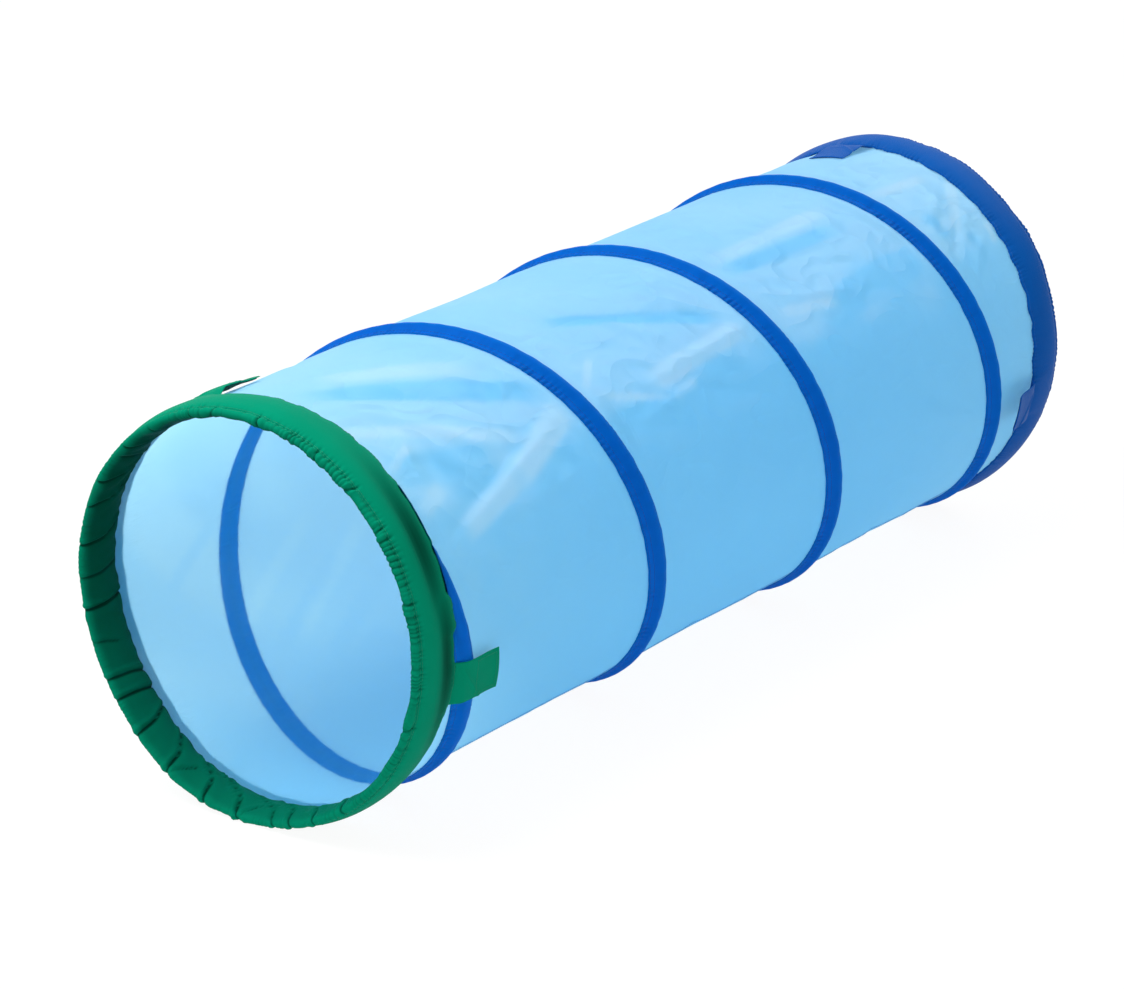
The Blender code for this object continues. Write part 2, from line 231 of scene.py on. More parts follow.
def smooth_line(points: Sequence[tuple[float, float]], steps: int) -> Array:
    """A smooth line through points, as a Catmull-Rom curve.

    Args:
        points: The points that the line passes.
        steps: How many pieces each stretch between two points has.

    Returns:
        The points of the line, one row each.
    """
    known = np.array(points, float)
    ends = np.vstack((2 * known[0] - known[1], known, 2 * known[-1] - known[-2]))
    share = np.linspace(0.0, 1.0, steps, endpoint=False)[:, None]
    line = []
    for index in range(len(known) - 1):
        before, start, end, after = ends[index : index + 4]
        bend = 2 * before - 5 * start + 4 * end - after
        twist = 3 * start - before - 3 * end + after
        line.append(0.5 * (2 * start + (end - before) * share + bend * share**2 + twist * share**3))
    return np.vstack((*line, known[-1:]))


# Nodes


def add_node(tree: bpy.types.NodeTree, kind: str, settings: dict[str, Any], sockets: dict[Any, Any]) -> Node:
    """Add a node to a tree.

    Args:
        tree: The node tree.
        kind: The node's type.
        settings: The node's own properties, which are set first.
        sockets: The values or linked sockets of its inputs.

    Returns:
        The node.
    """
    made = tree.nodes.new(kind)
    for key, value in settings.items():
        setattr(made, key, value)
    for key, value in sockets.items():
        if isinstance(value, Socket):
            tree.links.new(value, made.inputs[key])
        else:
            made.inputs[key].default_value = value
    return made


class Wire:
    """A value in a node tree, with Python's operators as Math nodes."""

    def __init__(self, tree: "ShaderTree", socket: Socket) -> None:
        """Keep the tree and the socket that the value comes from."""
        self.tree = tree
        self.socket = socket

    def _maths(self, operation: str, first: Any, second: Any = 0.0) -> "Wire":
        """A Math node on two values."""
        return self.tree.node("ShaderNodeMath", {"operation": operation}, {0: first, 1: second})

    def __add__(self, other: Any) -> "Wire":
        """Sum."""
        return self._maths("ADD", self, other)

    __radd__ = __add__

    def __sub__(self, other: Any) -> "Wire":
        """Difference."""
        return self._maths("SUBTRACT", self, other)

    def __rsub__(self, other: Any) -> "Wire":
        """Difference, turned round."""
        return self._maths("SUBTRACT", other, self)

    def __mul__(self, other: Any) -> "Wire":
        """Product."""
        return self._maths("MULTIPLY", self, other)

    __rmul__ = __mul__

    def sine(self) -> "Wire":
        """Sine, of radians."""
        return self._maths("SINE", self)

    def size(self) -> "Wire":
        """The value without its sign."""
        return self._maths("ABSOLUTE", self)

    def clamped(self) -> "Wire":
        """The value, held between 0 and 1."""
        made = self._maths("ADD", self, 0.0)
        made.socket.node.use_clamp = True
        return made


class ShaderTree:
    """A material's node tree, and the one way to add nodes to it."""

    def __init__(self, name: str) -> None:
        """Start an empty material."""
        self.material = bpy.data.materials.new(name)
        self.material.use_nodes = True
        self.tree = self.material.node_tree
        self.tree.nodes.clear()

    def node(self, kind: str, settings: dict[str, Any], sockets: dict[Any, Any], out: Any = 0) -> Wire:
        """Add a node.

        Args:
            kind: The node's type.
            settings: The node's own properties, which are set first.
            sockets: The values or links of its input sockets.
            out: The output socket that is wanted, by name or number.

        Returns:
            The wanted output.
        """
        plain = {key: value.socket if isinstance(value, Wire) else value for key, value in sockets.items()}
        return Wire(self, add_node(self.tree, kind, settings, plain).outputs[out])

    def places(self) -> Wire:
        """The piece's own coordinates."""
        return self.node("ShaderNodeTexCoord", {}, {}, out="Object")

    def principled(self, sockets: dict[str, Any]) -> Wire:
        """The surface shader."""
        return self.node("ShaderNodeBsdfPrincipled", {}, sockets)

    def mix(self, share: Wire, first: Wire | Colour, second: Colour) -> Wire:
        """A mix of two colours."""
        first, second = ((*part, 1.0) if isinstance(part, tuple) else part for part in (first, second))
        return self.node("ShaderNodeMix", {"data_type": "RGBA"}, {0: share, 6: first, 7: second}, out=2)

    def noise(self, where: Wire, scale: float, detail: float) -> Wire:
        """Soft noise of about 0 to 1."""
        sockets = {"Vector": where, "Scale": scale, "Detail": detail, "Roughness": 0.55}
        return self.node("ShaderNodeTexNoise", {}, sockets)

    def streaks(self, where: Wire, scale: tuple[float, float, float], detail: float) -> Wire:
        """Soft noise, stretched along its axes."""
        return self.noise(self.node("ShaderNodeMapping", {}, {"Vector": where, "Scale": scale}), 1.0, detail)

    def attribute(self, name: str) -> Wire:
        """A mesh attribute's number."""
        return self.node("ShaderNodeAttribute", {"attribute_name": name}, {}, out="Fac")

    def finish(self, surface: Wire) -> Material:
        """Link the surface to the output."""
        add_node(self.tree, "ShaderNodeOutputMaterial", {}, {"Surface": surface.socket})
        return self.material


@dataclass(frozen=True)
class ClothFinish:
    """A woven cloth: its colours, its weave, how much light it lets through, and its colours of painted shade and
    painted highlight.
    """

    name: str
    colour: Colour
    deep: Colour
    through: Colour = (0.0, 0.0, 0.0)
    through_share: float = 0.0
    thread: float = 0.0007
    weave_depth: float = 0.10
    crumple: float = 0.25
    crumple_scale: float = 55.0
    pucker: float = 0.0
    fold_depth: float = 0.0
    # Colours of painted shade and painted highlight, mixed in where the "shade" and "light" attributes ask.
    shadow: Colour | None = None
    light: Colour | None = None
    roughness: float = 0.55
    gloss: float = 0.25
    sheen: float = 0.0

    def material(self) -> Material:
        """The finish as a material.

        Returns:
            A material that reads the piece's Object coordinates, its "cloth" UV map and, where the
            finish has them, the attributes "gather", "slack", "shade" (painted shade) and "light" (painted highlight).
        """
        tree = ShaderTree(self.name)
        places = tree.places()
        cloth = tree.node("ShaderNodeUVMap", {"uv_map": "cloth"}, {})
        split = tree.node("ShaderNodeSeparateXYZ", {}, {"Vector": cloth}, out="X")
        warp = Wire(tree, split.socket.node.outputs["X"])
        weft = Wire(tree, split.socket.node.outputs["Y"])
        count = math.pi / self.thread
        weave = (warp * count).sine().size() * (weft * count).sine().size()
        slub = tree.streaks(cloth, (60.0, 900.0, 1.0), 1.0)
        cloud = tree.noise(places, 9.0, 3.0)
        tone = (0.55 * cloud + 0.35 * slub + 0.2 * weave - 0.05).clamped()
        colour = tree.mix(tone, self.deep, self.colour)
        # Painted highlight: the colour goes towards the light colour where the "light" attribute is high.
        if self.light:
            colour = tree.mix(tree.attribute("light") * (0.6 + 0.7 * cloud), colour, self.light)
        # Painted shade, and on the tube a darker seam: the colour goes towards the shadow colour where the "shade"
        # attribute is high.
        if self.shadow:
            colour = tree.mix(tree.attribute("shade"), colour, self.shadow)
        rough = self.roughness - 0.06 + 0.12 * cloud
        height = tree.noise(places, self.crumple_scale, 3.0) * self.crumple + weave * self.weave_depth
        if self.pucker:
            ruck = tree.streaks(places, (150.0, 28.0, 150.0), 2.0)
            height = height + ruck * tree.attribute("gather") * self.pucker
        if self.fold_depth:
            scales = ((9.0, 6.0, 9.0), (22.0, 15.0, 22.0))
            broad, tight = ((tree.streaks(places, scale, 1.0) - 0.5).size() for scale in scales)
            ridges = (broad + 0.4 * tight) * (0.08 + tree.attribute("slack"))
            height = height - ridges * self.fold_depth
        bump = tree.node("ShaderNodeBump", {}, {"Strength": 0.5, "Distance": 0.0015, "Height": height})
        sheen = {"Sheen Weight": self.sheen, "Sheen Roughness": 0.4}
        look = {"Base Color": colour, "Roughness": rough, "Specular IOR Level": self.gloss, "Normal": bump}
        front = tree.principled({**look, **sheen})
        if not self.through_share:
            return tree.finish(front)
        back = tree.node("ShaderNodeBsdfTranslucent", {}, {"Color": (*self.through, 1.0), "Normal": bump})
        return tree.finish(tree.node("ShaderNodeMixShader", {}, {0: self.through_share, 1: front, 2: back}))


@dataclass(frozen=True)
class ThreadFinish:
    """Sewing thread, twisted from two plies."""

    name: str
    colour: Colour

    def material(self) -> Material:
        """The thread's material, with its twist as fine diagonal bands."""
        tree = ShaderTree(self.name)
        places = tree.places()
        bands = {"Vector": places, "Scale": 700.0, "Distortion": 0.5}
        twist = tree.node("ShaderNodeTexWave", {"bands_direction": "DIAGONAL"}, bands, out="Fac")
        colour = tree.mix(twist, tuple(0.6 * part for part in self.colour), self.colour)
        return tree.finish(tree.principled({"Base Color": colour, "Roughness": 0.5, "Specular IOR Level": 0.35}))


@dataclass(frozen=True)
class SteelFinish:
    """Drawn spring wire, with fine lines and a faint haze."""

    name: str
    colour: Colour

    def material(self) -> Material:
        """The steel's material."""
        tree = ShaderTree(self.name)
        places = tree.places()
        haze = tree.noise(places, 40.0, 4.0)
        scratch = tree.streaks(places, (900.0, 60.0, 900.0), 2.0)
        colour = tree.mix(haze, tuple(0.7 * part for part in self.colour), self.colour)
        bump = tree.node("ShaderNodeBump", {}, {"Strength": 0.15, "Distance": 0.0003, "Height": scratch})
        look = {"Base Color": colour, "Metallic": 1.0, "Roughness": 0.24 + 0.2 * haze, "Normal": bump}
        return tree.finish(tree.principled(look))


class Finish(Enum):
    """The finishes on the tunnel."""

    SKY = ClothFinish(
        "sky_taffeta",
        colour=(0.24, 0.66, 1.0),
        deep=(0.20, 0.60, 0.98),
        through=(0.68, 0.93, 1.0),
        through_share=0.70,
        pucker=1.6,
        fold_depth=60.0,
        # Painted shade, and the seam's darker colour; then the painted highlight colour.
        shadow=(0.001, 0.30, 0.78),
        light=(0.66, 0.84, 1.0),
        roughness=0.40,
        gloss=0.65,
    )
    GREEN = ClothFinish(
        "green_taffeta",
        colour=(0.0005, 0.275, 0.157),
        deep=(0.0005, 0.19, 0.102),
        through=(0.0005, 0.20, 0.10),
        through_share=0.03,
        # Painted shade colour.
        shadow=(0.0003, 0.03, 0.018),
        roughness=0.45,
        gloss=0.006,
    )
    BLUE = ClothFinish(
        "blue_taffeta",
        colour=(0.001, 0.105, 0.43),
        deep=(0.001, 0.060, 0.29),
        through=(0.001, 0.20, 0.80),
        through_share=0.04,
        # Painted shade colour.
        shadow=(0.001, 0.02, 0.12),
        roughness=0.42,
        gloss=0.035,
    )
    TAPE = ClothFinish(
        "blue_tape",
        colour=(0.001, 0.18, 0.62),
        deep=(0.001, 0.12, 0.48),
        through=(0.001, 0.62, 1.0),
        through_share=0.58,
        # Colour of painted shade and of the darker front edge.
        shadow=(0.001, 0.05, 0.26),
        roughness=0.42,
        gloss=0.04,
    )
    HOOKS = ClothFinish(
        "green_hook_tape",
        colour=(0.004, 0.10, 0.055),
        deep=(0.002, 0.05, 0.03),
        thread=0.0012,
        weave_depth=0.5,
        roughness=0.8,
        sheen=0.05,
    )
    LOOPS = ClothFinish(
        "blue_loop_tape",
        colour=(0.004, 0.05, 0.26),
        deep=(0.002, 0.025, 0.14),
        thread=0.0012,
        weave_depth=0.4,
        crumple=1.2,
        crumple_scale=420.0,
        roughness=0.9,
        sheen=0.05,
    )
    GREEN_THREAD = ThreadFinish("green_thread", (0.004, 0.27, 0.15))
    BLUE_THREAD = ThreadFinish("blue_thread", (0.004, 0.11, 0.50))
    SKY_THREAD = ThreadFinish("sky_thread", (0.03, 0.26, 0.60))
    STEEL = SteelFinish("spring_steel", (0.62, 0.63, 0.65))


class Dyes:
    """The finishes' materials, each made once."""

    def __init__(self) -> None:
        """Make every material."""
        self._made = {finish: finish.value.material() for finish in Finish}

    def __getitem__(self, finish: Finish) -> Material:
        """A finish's material."""
        return self._made[finish]


# Meshes


def new_mesh(name: str, points: Any, faces: list, edges: Sequence[tuple[int, int]] = ()) -> Mesh:
    """A mesh from its points and its faces or edges."""
    mesh = bpy.data.meshes.new(name)
    mesh.from_pydata(np.reshape(points, (-1, 3)).tolist(), edges, faces)
    return mesh


def lay_flat(mesh: Mesh, flat: Array) -> None:
    """Give a mesh its "cloth" UV map, in metres, from a place for each face corner."""
    mesh.uv_layers.new(name="cloth").data.foreach_set("uv", flat.astype(np.float32).ravel())


def paint(mesh: Mesh, name: str, values: Array) -> None:
    """Give a mesh an attribute with a number for each point."""
    mesh.attributes.new(name, "FLOAT", "POINT").data.foreach_set("value", values.astype(np.float32).ravel())


def move_points(mesh: Mesh, points: Array) -> None:
    """Put a mesh's points in new places."""
    mesh.vertices.foreach_set("co", points.astype(np.float32).ravel())


def add_object(name: str, data: Any) -> Piece:
    """An object with the given data, linked to the scene."""
    made = bpy.data.objects.new(name, data)
    bpy.context.scene.collection.objects.link(made)
    return made


def new_object(name: str, mesh: Mesh, materials: Sequence[Material]) -> Piece:
    """A smooth object at the origin with its materials.

    Args:
        name: The object's name.
        mesh: Its mesh, already in place.
        materials: Its materials, in slot order.

    Returns:
        The object, linked to the scene.
    """
    mesh.name = name
    mesh.materials.clear()
    for material in materials:
        mesh.materials.append(material)
    mesh.shade_smooth()
    return add_object(name, mesh)


@dataclass
class ClothShell:
    """A closed shell of cloth over an open grid of points.

    Rows run one way across the cloth and columns the other. The outer face looks the way of
    rows x columns, or the other way where flip is set.
    """

    name: str
    outer: Array
    wall: Array
    flip: bool = False

    def _normals(self) -> Array:
        """The outer face's normals at its points."""
        normal = np.cross(np.gradient(self.outer, axis=0), np.gradient(self.outer, axis=1))
        normal /= np.maximum(np.linalg.norm(normal, axis=-1, keepdims=True), 1e-12)
        return -normal if self.flip else normal

    def mesh(self) -> Mesh:
        """Make the closed mesh, with its "cloth" UV map in metres."""
        rows, columns = self.outer.shape[:2]
        inner = self.outer - self._normals() * self.wall[..., None]
        number = np.arange(rows * columns).reshape(rows, columns)
        face = np.stack((number[:-1, :-1], number[1:, :-1], number[1:, 1:], number[:-1, 1:]), -1).reshape(-1, 4)
        edge = np.concatenate((number[:-1, 0], number[-1, :-1], number[:0:-1, -1], number[0, :0:-1]))
        rim = np.stack((edge, edge + rows * columns, np.roll(edge, -1) + rows * columns, np.roll(edge, -1)), -1)
        faces = np.concatenate((face, face[:, ::-1] + rows * columns, rim))
        faces = faces[:, ::-1] if self.flip else faces
        mesh = new_mesh(self.name, np.concatenate((self.outer, inner)), faces.tolist())
        steps = np.linalg.norm(np.diff(self.outer[:, columns // 2], axis=0), axis=-1)
        across = np.concatenate(((0.0,), np.cumsum(steps)))
        width = np.linalg.norm(self.outer[0, 1] - self.outer[0, 0])
        place = np.stack(np.broadcast_arrays(np.arange(columns) * width, across[:, None]), -1).reshape(-1, 2)
        lay_flat(mesh, np.tile(place, (2, 1))[faces])
        return mesh


def band_mesh(name: str, grid: Array, columns_along: Array) -> Mesh:
    """A closed ring of cloth from a grid that wraps round both ways.

    Args:
        name: The mesh's name.
        grid: Points, with the closed section on the first axis and the ring on the second.
        columns_along: How far along the cloth each column is, and at its end the first one again.

    Returns:
        The mesh, with its "cloth" UV map in metres.
    """
    rows, columns = grid.shape[:2]
    row, column = np.meshgrid(np.arange(rows), np.arange(columns), indexing="ij")
    down, step = (row + 1) % rows, (column + 1) % columns
    face = np.stack((row * columns + column, down * columns + column, down * columns + step, row * columns + step), -1)
    mesh = new_mesh(name, grid, face.reshape(-1, 4).tolist())
    loop = np.vstack((grid[:, 0], grid[:1, 0]))
    across = np.concatenate(((0.0,), np.cumsum(np.linalg.norm(np.diff(loop, axis=0), axis=-1))))
    rows_at = np.stack((row, row + 1, row + 1, row), -1)
    columns_at = np.stack((column, column, column + 1, column + 1), -1)
    lay_flat(mesh, np.stack((columns_along[columns_at], across[rows_at]), -1))
    return mesh


class NodeRecipe:
    """A Geometry Nodes tree that is built in code and turned into a plain mesh."""

    def __init__(self, name: str) -> None:
        """Start an empty tree with a geometry input and output."""
        self.tree = bpy.data.node_groups.new(name, "GeometryNodeTree")
        self.tree.is_modifier = True
        for way in ("INPUT", "OUTPUT"):
            self.tree.interface.new_socket("Geometry", in_out=way, socket_type="NodeSocketGeometry")
        self.source = self.tree.nodes.new("NodeGroupInput")

    def ask(self, name: str, kind: str = "NodeSocketFloat") -> None:
        """Add a named input."""
        self.tree.interface.new_socket(name, in_out="INPUT", socket_type=kind)

    def given(self, name: str) -> Socket:
        """The socket that a named input arrives on."""
        return self.source.outputs[name]

    def node(self, kind: str, settings: dict[str, Any], sockets: dict[Any, Any]) -> Socket:
        """Add a node, as add_node does, and give its first output."""
        return add_node(self.tree, kind, settings, sockets).outputs[0]

    def end(self, geometry: Socket) -> None:
        """Realize the instances, set the material and close the tree."""
        real = self.node("GeometryNodeRealizeInstances", {}, {"Geometry": geometry})
        dressed = self.node("GeometryNodeSetMaterial", {}, {"Geometry": real, "Material": self.given("Material")})
        add_node(self.tree, "NodeGroupOutput", {}, {0: dressed})

    def run(self, mesh: Mesh, values: dict[str, Any]) -> Mesh:
        """Run the tree on a mesh.

        Args:
            mesh: The mesh that the tree starts from.
            values: The named inputs' values.

        Returns:
            The result as a plain mesh.
        """
        carrier = add_object(mesh.name, mesh)
        modifier = carrier.modifiers.new("recipe", "NODES")
        modifier.node_group = self.tree
        for socket in self.tree.interface.items_tree:
            if socket.in_out == "INPUT" and socket.name in values:
                modifier[socket.identifier] = values[socket.name]
        graph = bpy.context.evaluated_depsgraph_get()
        made = bpy.data.meshes.new_from_object(carrier.evaluated_get(graph))
        bpy.data.objects.remove(carrier, do_unlink=True)
        return made


class StitchRecipe(NodeRecipe):
    """Stitches along a path of edges: short lengths of thread, a gap apart."""

    def __init__(self) -> None:
        """Build the tree."""
        super().__init__("stitches_on_a_path")
        for name in ("Pitch", "Stitch Length", "Thread Radius"):
            self.ask(name)
        self.ask("Material", "NodeSocketMaterial")
        path = self.node("GeometryNodeMeshToCurve", {}, {"Mesh": self.given("Geometry")})
        spacing = {"Curve": path, "Length": self.given("Pitch")}
        points = self.node("GeometryNodeCurveToPoints", {"mode": "LENGTH"}, spacing)
        thread = {"Vertices": 6, "Radius": self.given("Thread Radius"), "Depth": self.given("Stitch Length")}
        stitch = self.node("GeometryNodeMeshCylinder", {"fill_type": "NGON"}, thread)
        places = {"Points": points, "Instance": stitch, "Rotation": points.node.outputs["Rotation"]}
        self.end(self.node("GeometryNodeInstanceOnPoints", {}, places))

    def sew(self, name: str, paths: Sequence[Array], pitch: float, radius: float, thread: Material) -> Piece:
        """Sew along paths.

        Args:
            name: The new object's name.
            paths: Each path's points.
            pitch: From one stitch to the next.
            radius: The thread's radius.
            thread: The thread's material.

        Returns:
            One object with every stitch.
        """
        points, edges = [], []
        for path in paths:
            first = len(points)
            points.extend(map(tuple, path))
            edges.extend((first + i, first + i + 1) for i in range(len(path) - 1))
        mesh = new_mesh(name, points, [], edges)
        values = {"Pitch": pitch, "Stitch Length": 0.76 * pitch, "Thread Radius": radius, "Material": thread}
        return new_object(name, self.run(mesh, values), [thread])


class SpiralRecipe(NodeRecipe):
    """A section swept along a spiral round Z."""

    def __init__(self) -> None:
        """Build the tree."""
        super().__init__("section_on_a_spiral")
        self.ask("Steps per Turn", "NodeSocketInt")
        for name in ("Turns", "Radius", "Rise"):
            self.ask(name)
        self.ask("Material", "NodeSocketMaterial")
        given = {"Resolution": "Steps per Turn", "Rotations": "Turns", "Height": "Rise"}
        given |= {"Start Radius": "Radius", "End Radius": "Radius"}
        sockets = {key: self.given(name) for key, name in given.items()}
        spiral = self.node("GeometryNodeCurveSpiral", {}, {**sockets, "Reverse": True})
        level = self.node("GeometryNodeSetCurveNormal", {"mode": "Z_UP"}, {"Curve": spiral})
        section = self.node("GeometryNodeMeshToCurve", {}, {"Mesh": self.given("Geometry")})
        sweep = {"Curve": level, "Profile Curve": section, "Fill Caps": True}
        self.end(self.node("GeometryNodeCurveToMesh", {}, sweep))

    def sweep(self, name: str, section: Array, start: float, end: float, steps: int, dye: Material) -> Mesh:
        """Sweep a closed section along the tunnel's spiral.

        Args:
            name: The new mesh's name.
            section: The section's points, as radius and distance along.
            start: The first turn.
            end: The last turn.
            steps: Steps in a full turn.
            dye: The material.

        Returns:
            The mesh, in the world's frame.
        """
        count = len(section)
        edges = [(i, (i + 1) % count) for i in range(count)]
        mesh = new_mesh(name, [(x, y, 0.0) for x, y in section], [], edges)
        turns = (end - start) / FULL_TURN
        values = {
            "Steps per Turn": steps,
            "Turns": turns,
            "Radius": TUNNEL.fabric_radius,
            "Rise": turns * TUNNEL.pitch,
            "Material": dye,
        }
        made = self.run(mesh, values)
        upright = Matrix(((0, 1, 0), (0, 0, 1), (1, 0, 0))).to_4x4()
        lifted = Matrix.Translation((0.0, TUNNEL.spiral_along(start), TUNNEL.axis_height))
        made.transform(lifted @ upright @ Matrix.Rotation(start, 4, "Z"))
        return made


# Sub-assemblies


@dataclass
class Streak:
    """A straight streak on the fabric between two places, given as degrees of turn and metres."""

    start: tuple[float, float]
    end: tuple[float, float]
    width: float
    amount: float

    def shares(self, turn: Array, along: Array, fade: float) -> tuple[Array, Array]:
        """Where places are on the streak.

        Args:
            turn: Turns in radians.
            along: Distances along the tunnel.
            fade: How far past its ends the streak fades out, as a share of its length.

        Returns:
            How much of the streak is there by its ends, from 0 to 1, and the distance beside its middle.
        """
        first, low = self.start
        around, ahead = gap_at(turn, first) * TUNNEL.fabric_radius, along - low
        reach = np.array((gap_at(math.radians(self.end[0]), first) * TUNNEL.fabric_radius, self.end[1] - low))
        length = float(np.linalg.norm(reach))
        unit = reach / length
        share = (around * unit[0] + ahead * unit[1]) / length
        aside = around * unit[1] - ahead * unit[0]
        return smooth_step((share + fade) / (2 * fade)) * smooth_step((1 + fade - share) / (2 * fade)), aside


@dataclass
class Fold(Streak):
    """A soft fold, raised by its amount in metres."""

    def height_at(self, turn: Array, along: Array) -> Array:
        """The fold's height at places on the fabric."""
        ends, aside = self.shares(turn, along, 0.25)
        sharp = np.exp(-np.abs(aside) / (0.8 * self.width))
        return self.amount * (0.45 * bell(aside, self.width) + 0.55 * sharp) * ends


@dataclass
class Glint(Streak):
    """A patch of painted highlight on the fabric, which takes painted highlight away where its amount is below 0."""

    def light_at(self, turn: Array, along: Array) -> Array:
        """The patch's painted highlight at places on the fabric."""
        ends, aside = self.shares(turn, along, 0.16)
        return self.amount * smooth_step((1.5 * self.width - np.abs(aside)) / (0.9 * self.width)) * ends


@dataclass
class FabricTube:
    """The light blue tube, drawn in between the spiral's turns and softly creased."""

    waist: float = 0.0010
    ripple: float = 0.00045
    held_beside_spiral: float = 0.016
    seam_rise: float = 0.0009
    seam_half_width: float = 0.0060
    seam_row: float = 0.0040
    fade: float = 0.060
    wall: float = 0.0004
    overlap: float = 0.0300
    near_columns: int = 170
    far_columns: int = 80
    rows: int = 198
    seam_turn: float = math.radians(139.0)
    folds: Sequence[Fold] = field(default_factory=tuple)
    glints: Sequence[Glint] = field(default_factory=tuple)
    stray_folds: int = 46
    seed: int = 11

    def spiral_gap(self, turn: Array, along: Array) -> Array:
        """How far along a place is from the nearest turn of the spiral."""
        share = (along - TUNNEL.spiral_along(turn)) / TUNNEL.pitch
        return (share - np.round(share)) * TUNNEL.pitch

    def radius_at(self, turn: Array, along: Array) -> Array:
        """The fabric's outer radius at places on it."""
        gap = self.spiral_gap(turn, along)
        ends = np.clip(np.minimum(along - TUNNEL.front_lip, TUNNEL.back_lip - along) / self.fade, 0.0, 1.0)
        free = np.sin(math.pi * np.clip(gap / TUNNEL.pitch, -0.5, 0.5)) ** 2 * ends
        held = smooth_step((np.abs(gap) - self.held_beside_spiral) / 0.040) * smooth_step(ends)
        height = -self.waist * free
        for fold in self.all_folds:
            height = height + fold.height_at(turn, along) * held
        height = height + self.ripple * held * ring_waves(turn, along, (3, 9), 5.0, 9, self.seed)
        seam = turn_gap(turn, self.seam_turn) * TUNNEL.fabric_radius
        height = height + self.seam_rise * smooth_step((self.seam_half_width - np.abs(seam)) / 0.002) * held
        return TUNNEL.fabric_radius + height + TUNNEL.bulge(turn, along)

    def __post_init__(self) -> None:
        """Add the stray folds that every side has."""
        draws = np.random.default_rng(self.seed)
        stray = []
        for _ in range(self.stray_folds):
            turn, along = draws.uniform(60.0, 350.0), draws.uniform(0.08, 1.22)
            lean, length = draws.uniform(-35.0, 35.0), draws.uniform(0.05, 0.16)
            end = (turn + lean, along + length * draws.choice((-1.0, 1.0)))
            stray.append(Fold((turn, along), end, draws.uniform(0.007, 0.016), draws.uniform(-0.0022, 0.0018)))
        self.all_folds = [*self.folds, *stray]

    def light(self, turn: Array, along: Array) -> Array:
        """The cloth's painted highlight, from 0 to 1: along its top, on its far side, and in its glint patches."""
        # Painted highlight along the top of the tube.
        top = gap_at(turn, 2.0) + 0.10 * ring_waves(turn, along, (3, 14), 9.0, 9, self.seed + 5)
        painted_highlight = 0.55 * smooth_step((0.98 - np.abs(top)) / 0.30)
        # Painted highlight on the far side, in drifting patches.
        far = gap_at(turn, 262.0)
        drift = smooth_step(0.5 + 0.6 * ring_waves(turn + 5 * along, along, (2, 8), 3.0, 5, 4))
        painted_highlight = painted_highlight + 0.55 * bell(far, 0.9) * drift
        for glint in self.glints:
            painted_highlight = painted_highlight + glint.light_at(turn, along)
        return np.clip(painted_highlight, 0.0, 1.0)

    def tones(self, turn: Array, along: Array) -> dict[str, tuple[Array, Array]]:
        """Gather, slack, dark seam, painted shade and painted highlight at places, on the cloth's outer and inner face.
        """
        gap = np.abs(self.spiral_gap(turn, along))
        lips = np.minimum(np.abs(along - TUNNEL.front_lip), np.abs(TUNNEL.back_lip - along))
        gather = np.maximum(bell(np.maximum(gap - self.held_beside_spiral, 0.0), 0.016), bell(lips, 0.028))
        slack = bell(gap_at(turn, 34.0), math.radians(36.0)) * smooth_step((gap - 0.02) / 0.03)
        seam = np.abs(turn_gap(turn, self.seam_turn)) * TUNNEL.fabric_radius
        shade = 0.9 * smooth_step((0.0062 - seam) / 0.0030)
        # Painted shade low on the inner face towards the front end; the inner face is also darker where the tape lies
        # over it.
        low = bell(gap_at(turn, 165.0), math.radians(38.0)) * smooth_step((0.55 - along) / 0.40)
        within = np.maximum.reduce((shade, smooth_step((0.0205 - gap) / 0.0050), 0.22 * low))
        light = self.light(turn, along)
        return {"gather": (gather, gather), "slack": (slack, slack), "shade": (shade, within), "light": (light, light)}

    def build(self, dyes: Dyes) -> Piece:
        """Make the tube, closed round and open at both ends."""
        near, far = math.radians(-25.0), math.radians(145.0)
        parts = ((near, far, self.near_columns), (far, near + FULL_TURN, self.far_columns))
        turn = np.concatenate([np.linspace(*part, endpoint=False) for part in parts])
        start, end = TUNNEL.front_lip - self.overlap, TUNNEL.back_lip + self.overlap
        turns, alongs = np.meshgrid(turn, np.linspace(end, start, self.rows))
        radius = self.radius_at(turns, alongs)
        inner = TUNNEL.place(turns, alongs, radius - self.wall)[::-1]
        columns_at = (np.append(turn, near + FULL_TURN) - near) * TUNNEL.fabric_radius
        mesh = band_mesh("tunnel_cloth", np.concatenate((TUNNEL.place(turns, alongs, radius), inner)), columns_at)
        for title, (outer, within) in self.tones(turns, alongs).items():
            paint(mesh, title, np.concatenate((outer, within[::-1])))
        tube = new_object("tunnel_cloth", mesh, [dyes[Finish.SKY]])
        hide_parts("tunnel_fabric")
        collapse(tube)
        flat = (FULL_TURN * TUNNEL.fabric_radius, end - start)
        return tube

    def seam_paths(self, proud: float) -> list[Array]:
        """The two rows of the lengthwise lapped seam."""
        along = np.linspace(TUNNEL.front_lip - UNDER_LIP, TUNNEL.back_lip + UNDER_LIP, 480)
        paths = []
        for aside in (-self.seam_row, self.seam_row):
            turn = np.full_like(along, self.seam_turn + aside / TUNNEL.fabric_radius)
            paths.append(TUNNEL.place(turn, along, self.radius_at(turn, along) + proud))
        return paths


def collapse(piece: Piece) -> None:
    """Attach a piece to the front end's body and give it a mesh of its own."""
    low = TUNNEL.front_lip
    travel = abs(min(next(j for j in frame["joints"] if j["name"] == LENGTH_JOINT)["range_m"]))
    full = TUNNEL.back_lip - low
    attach(piece, "front_end")
    (full - travel) / full
    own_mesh(piece)


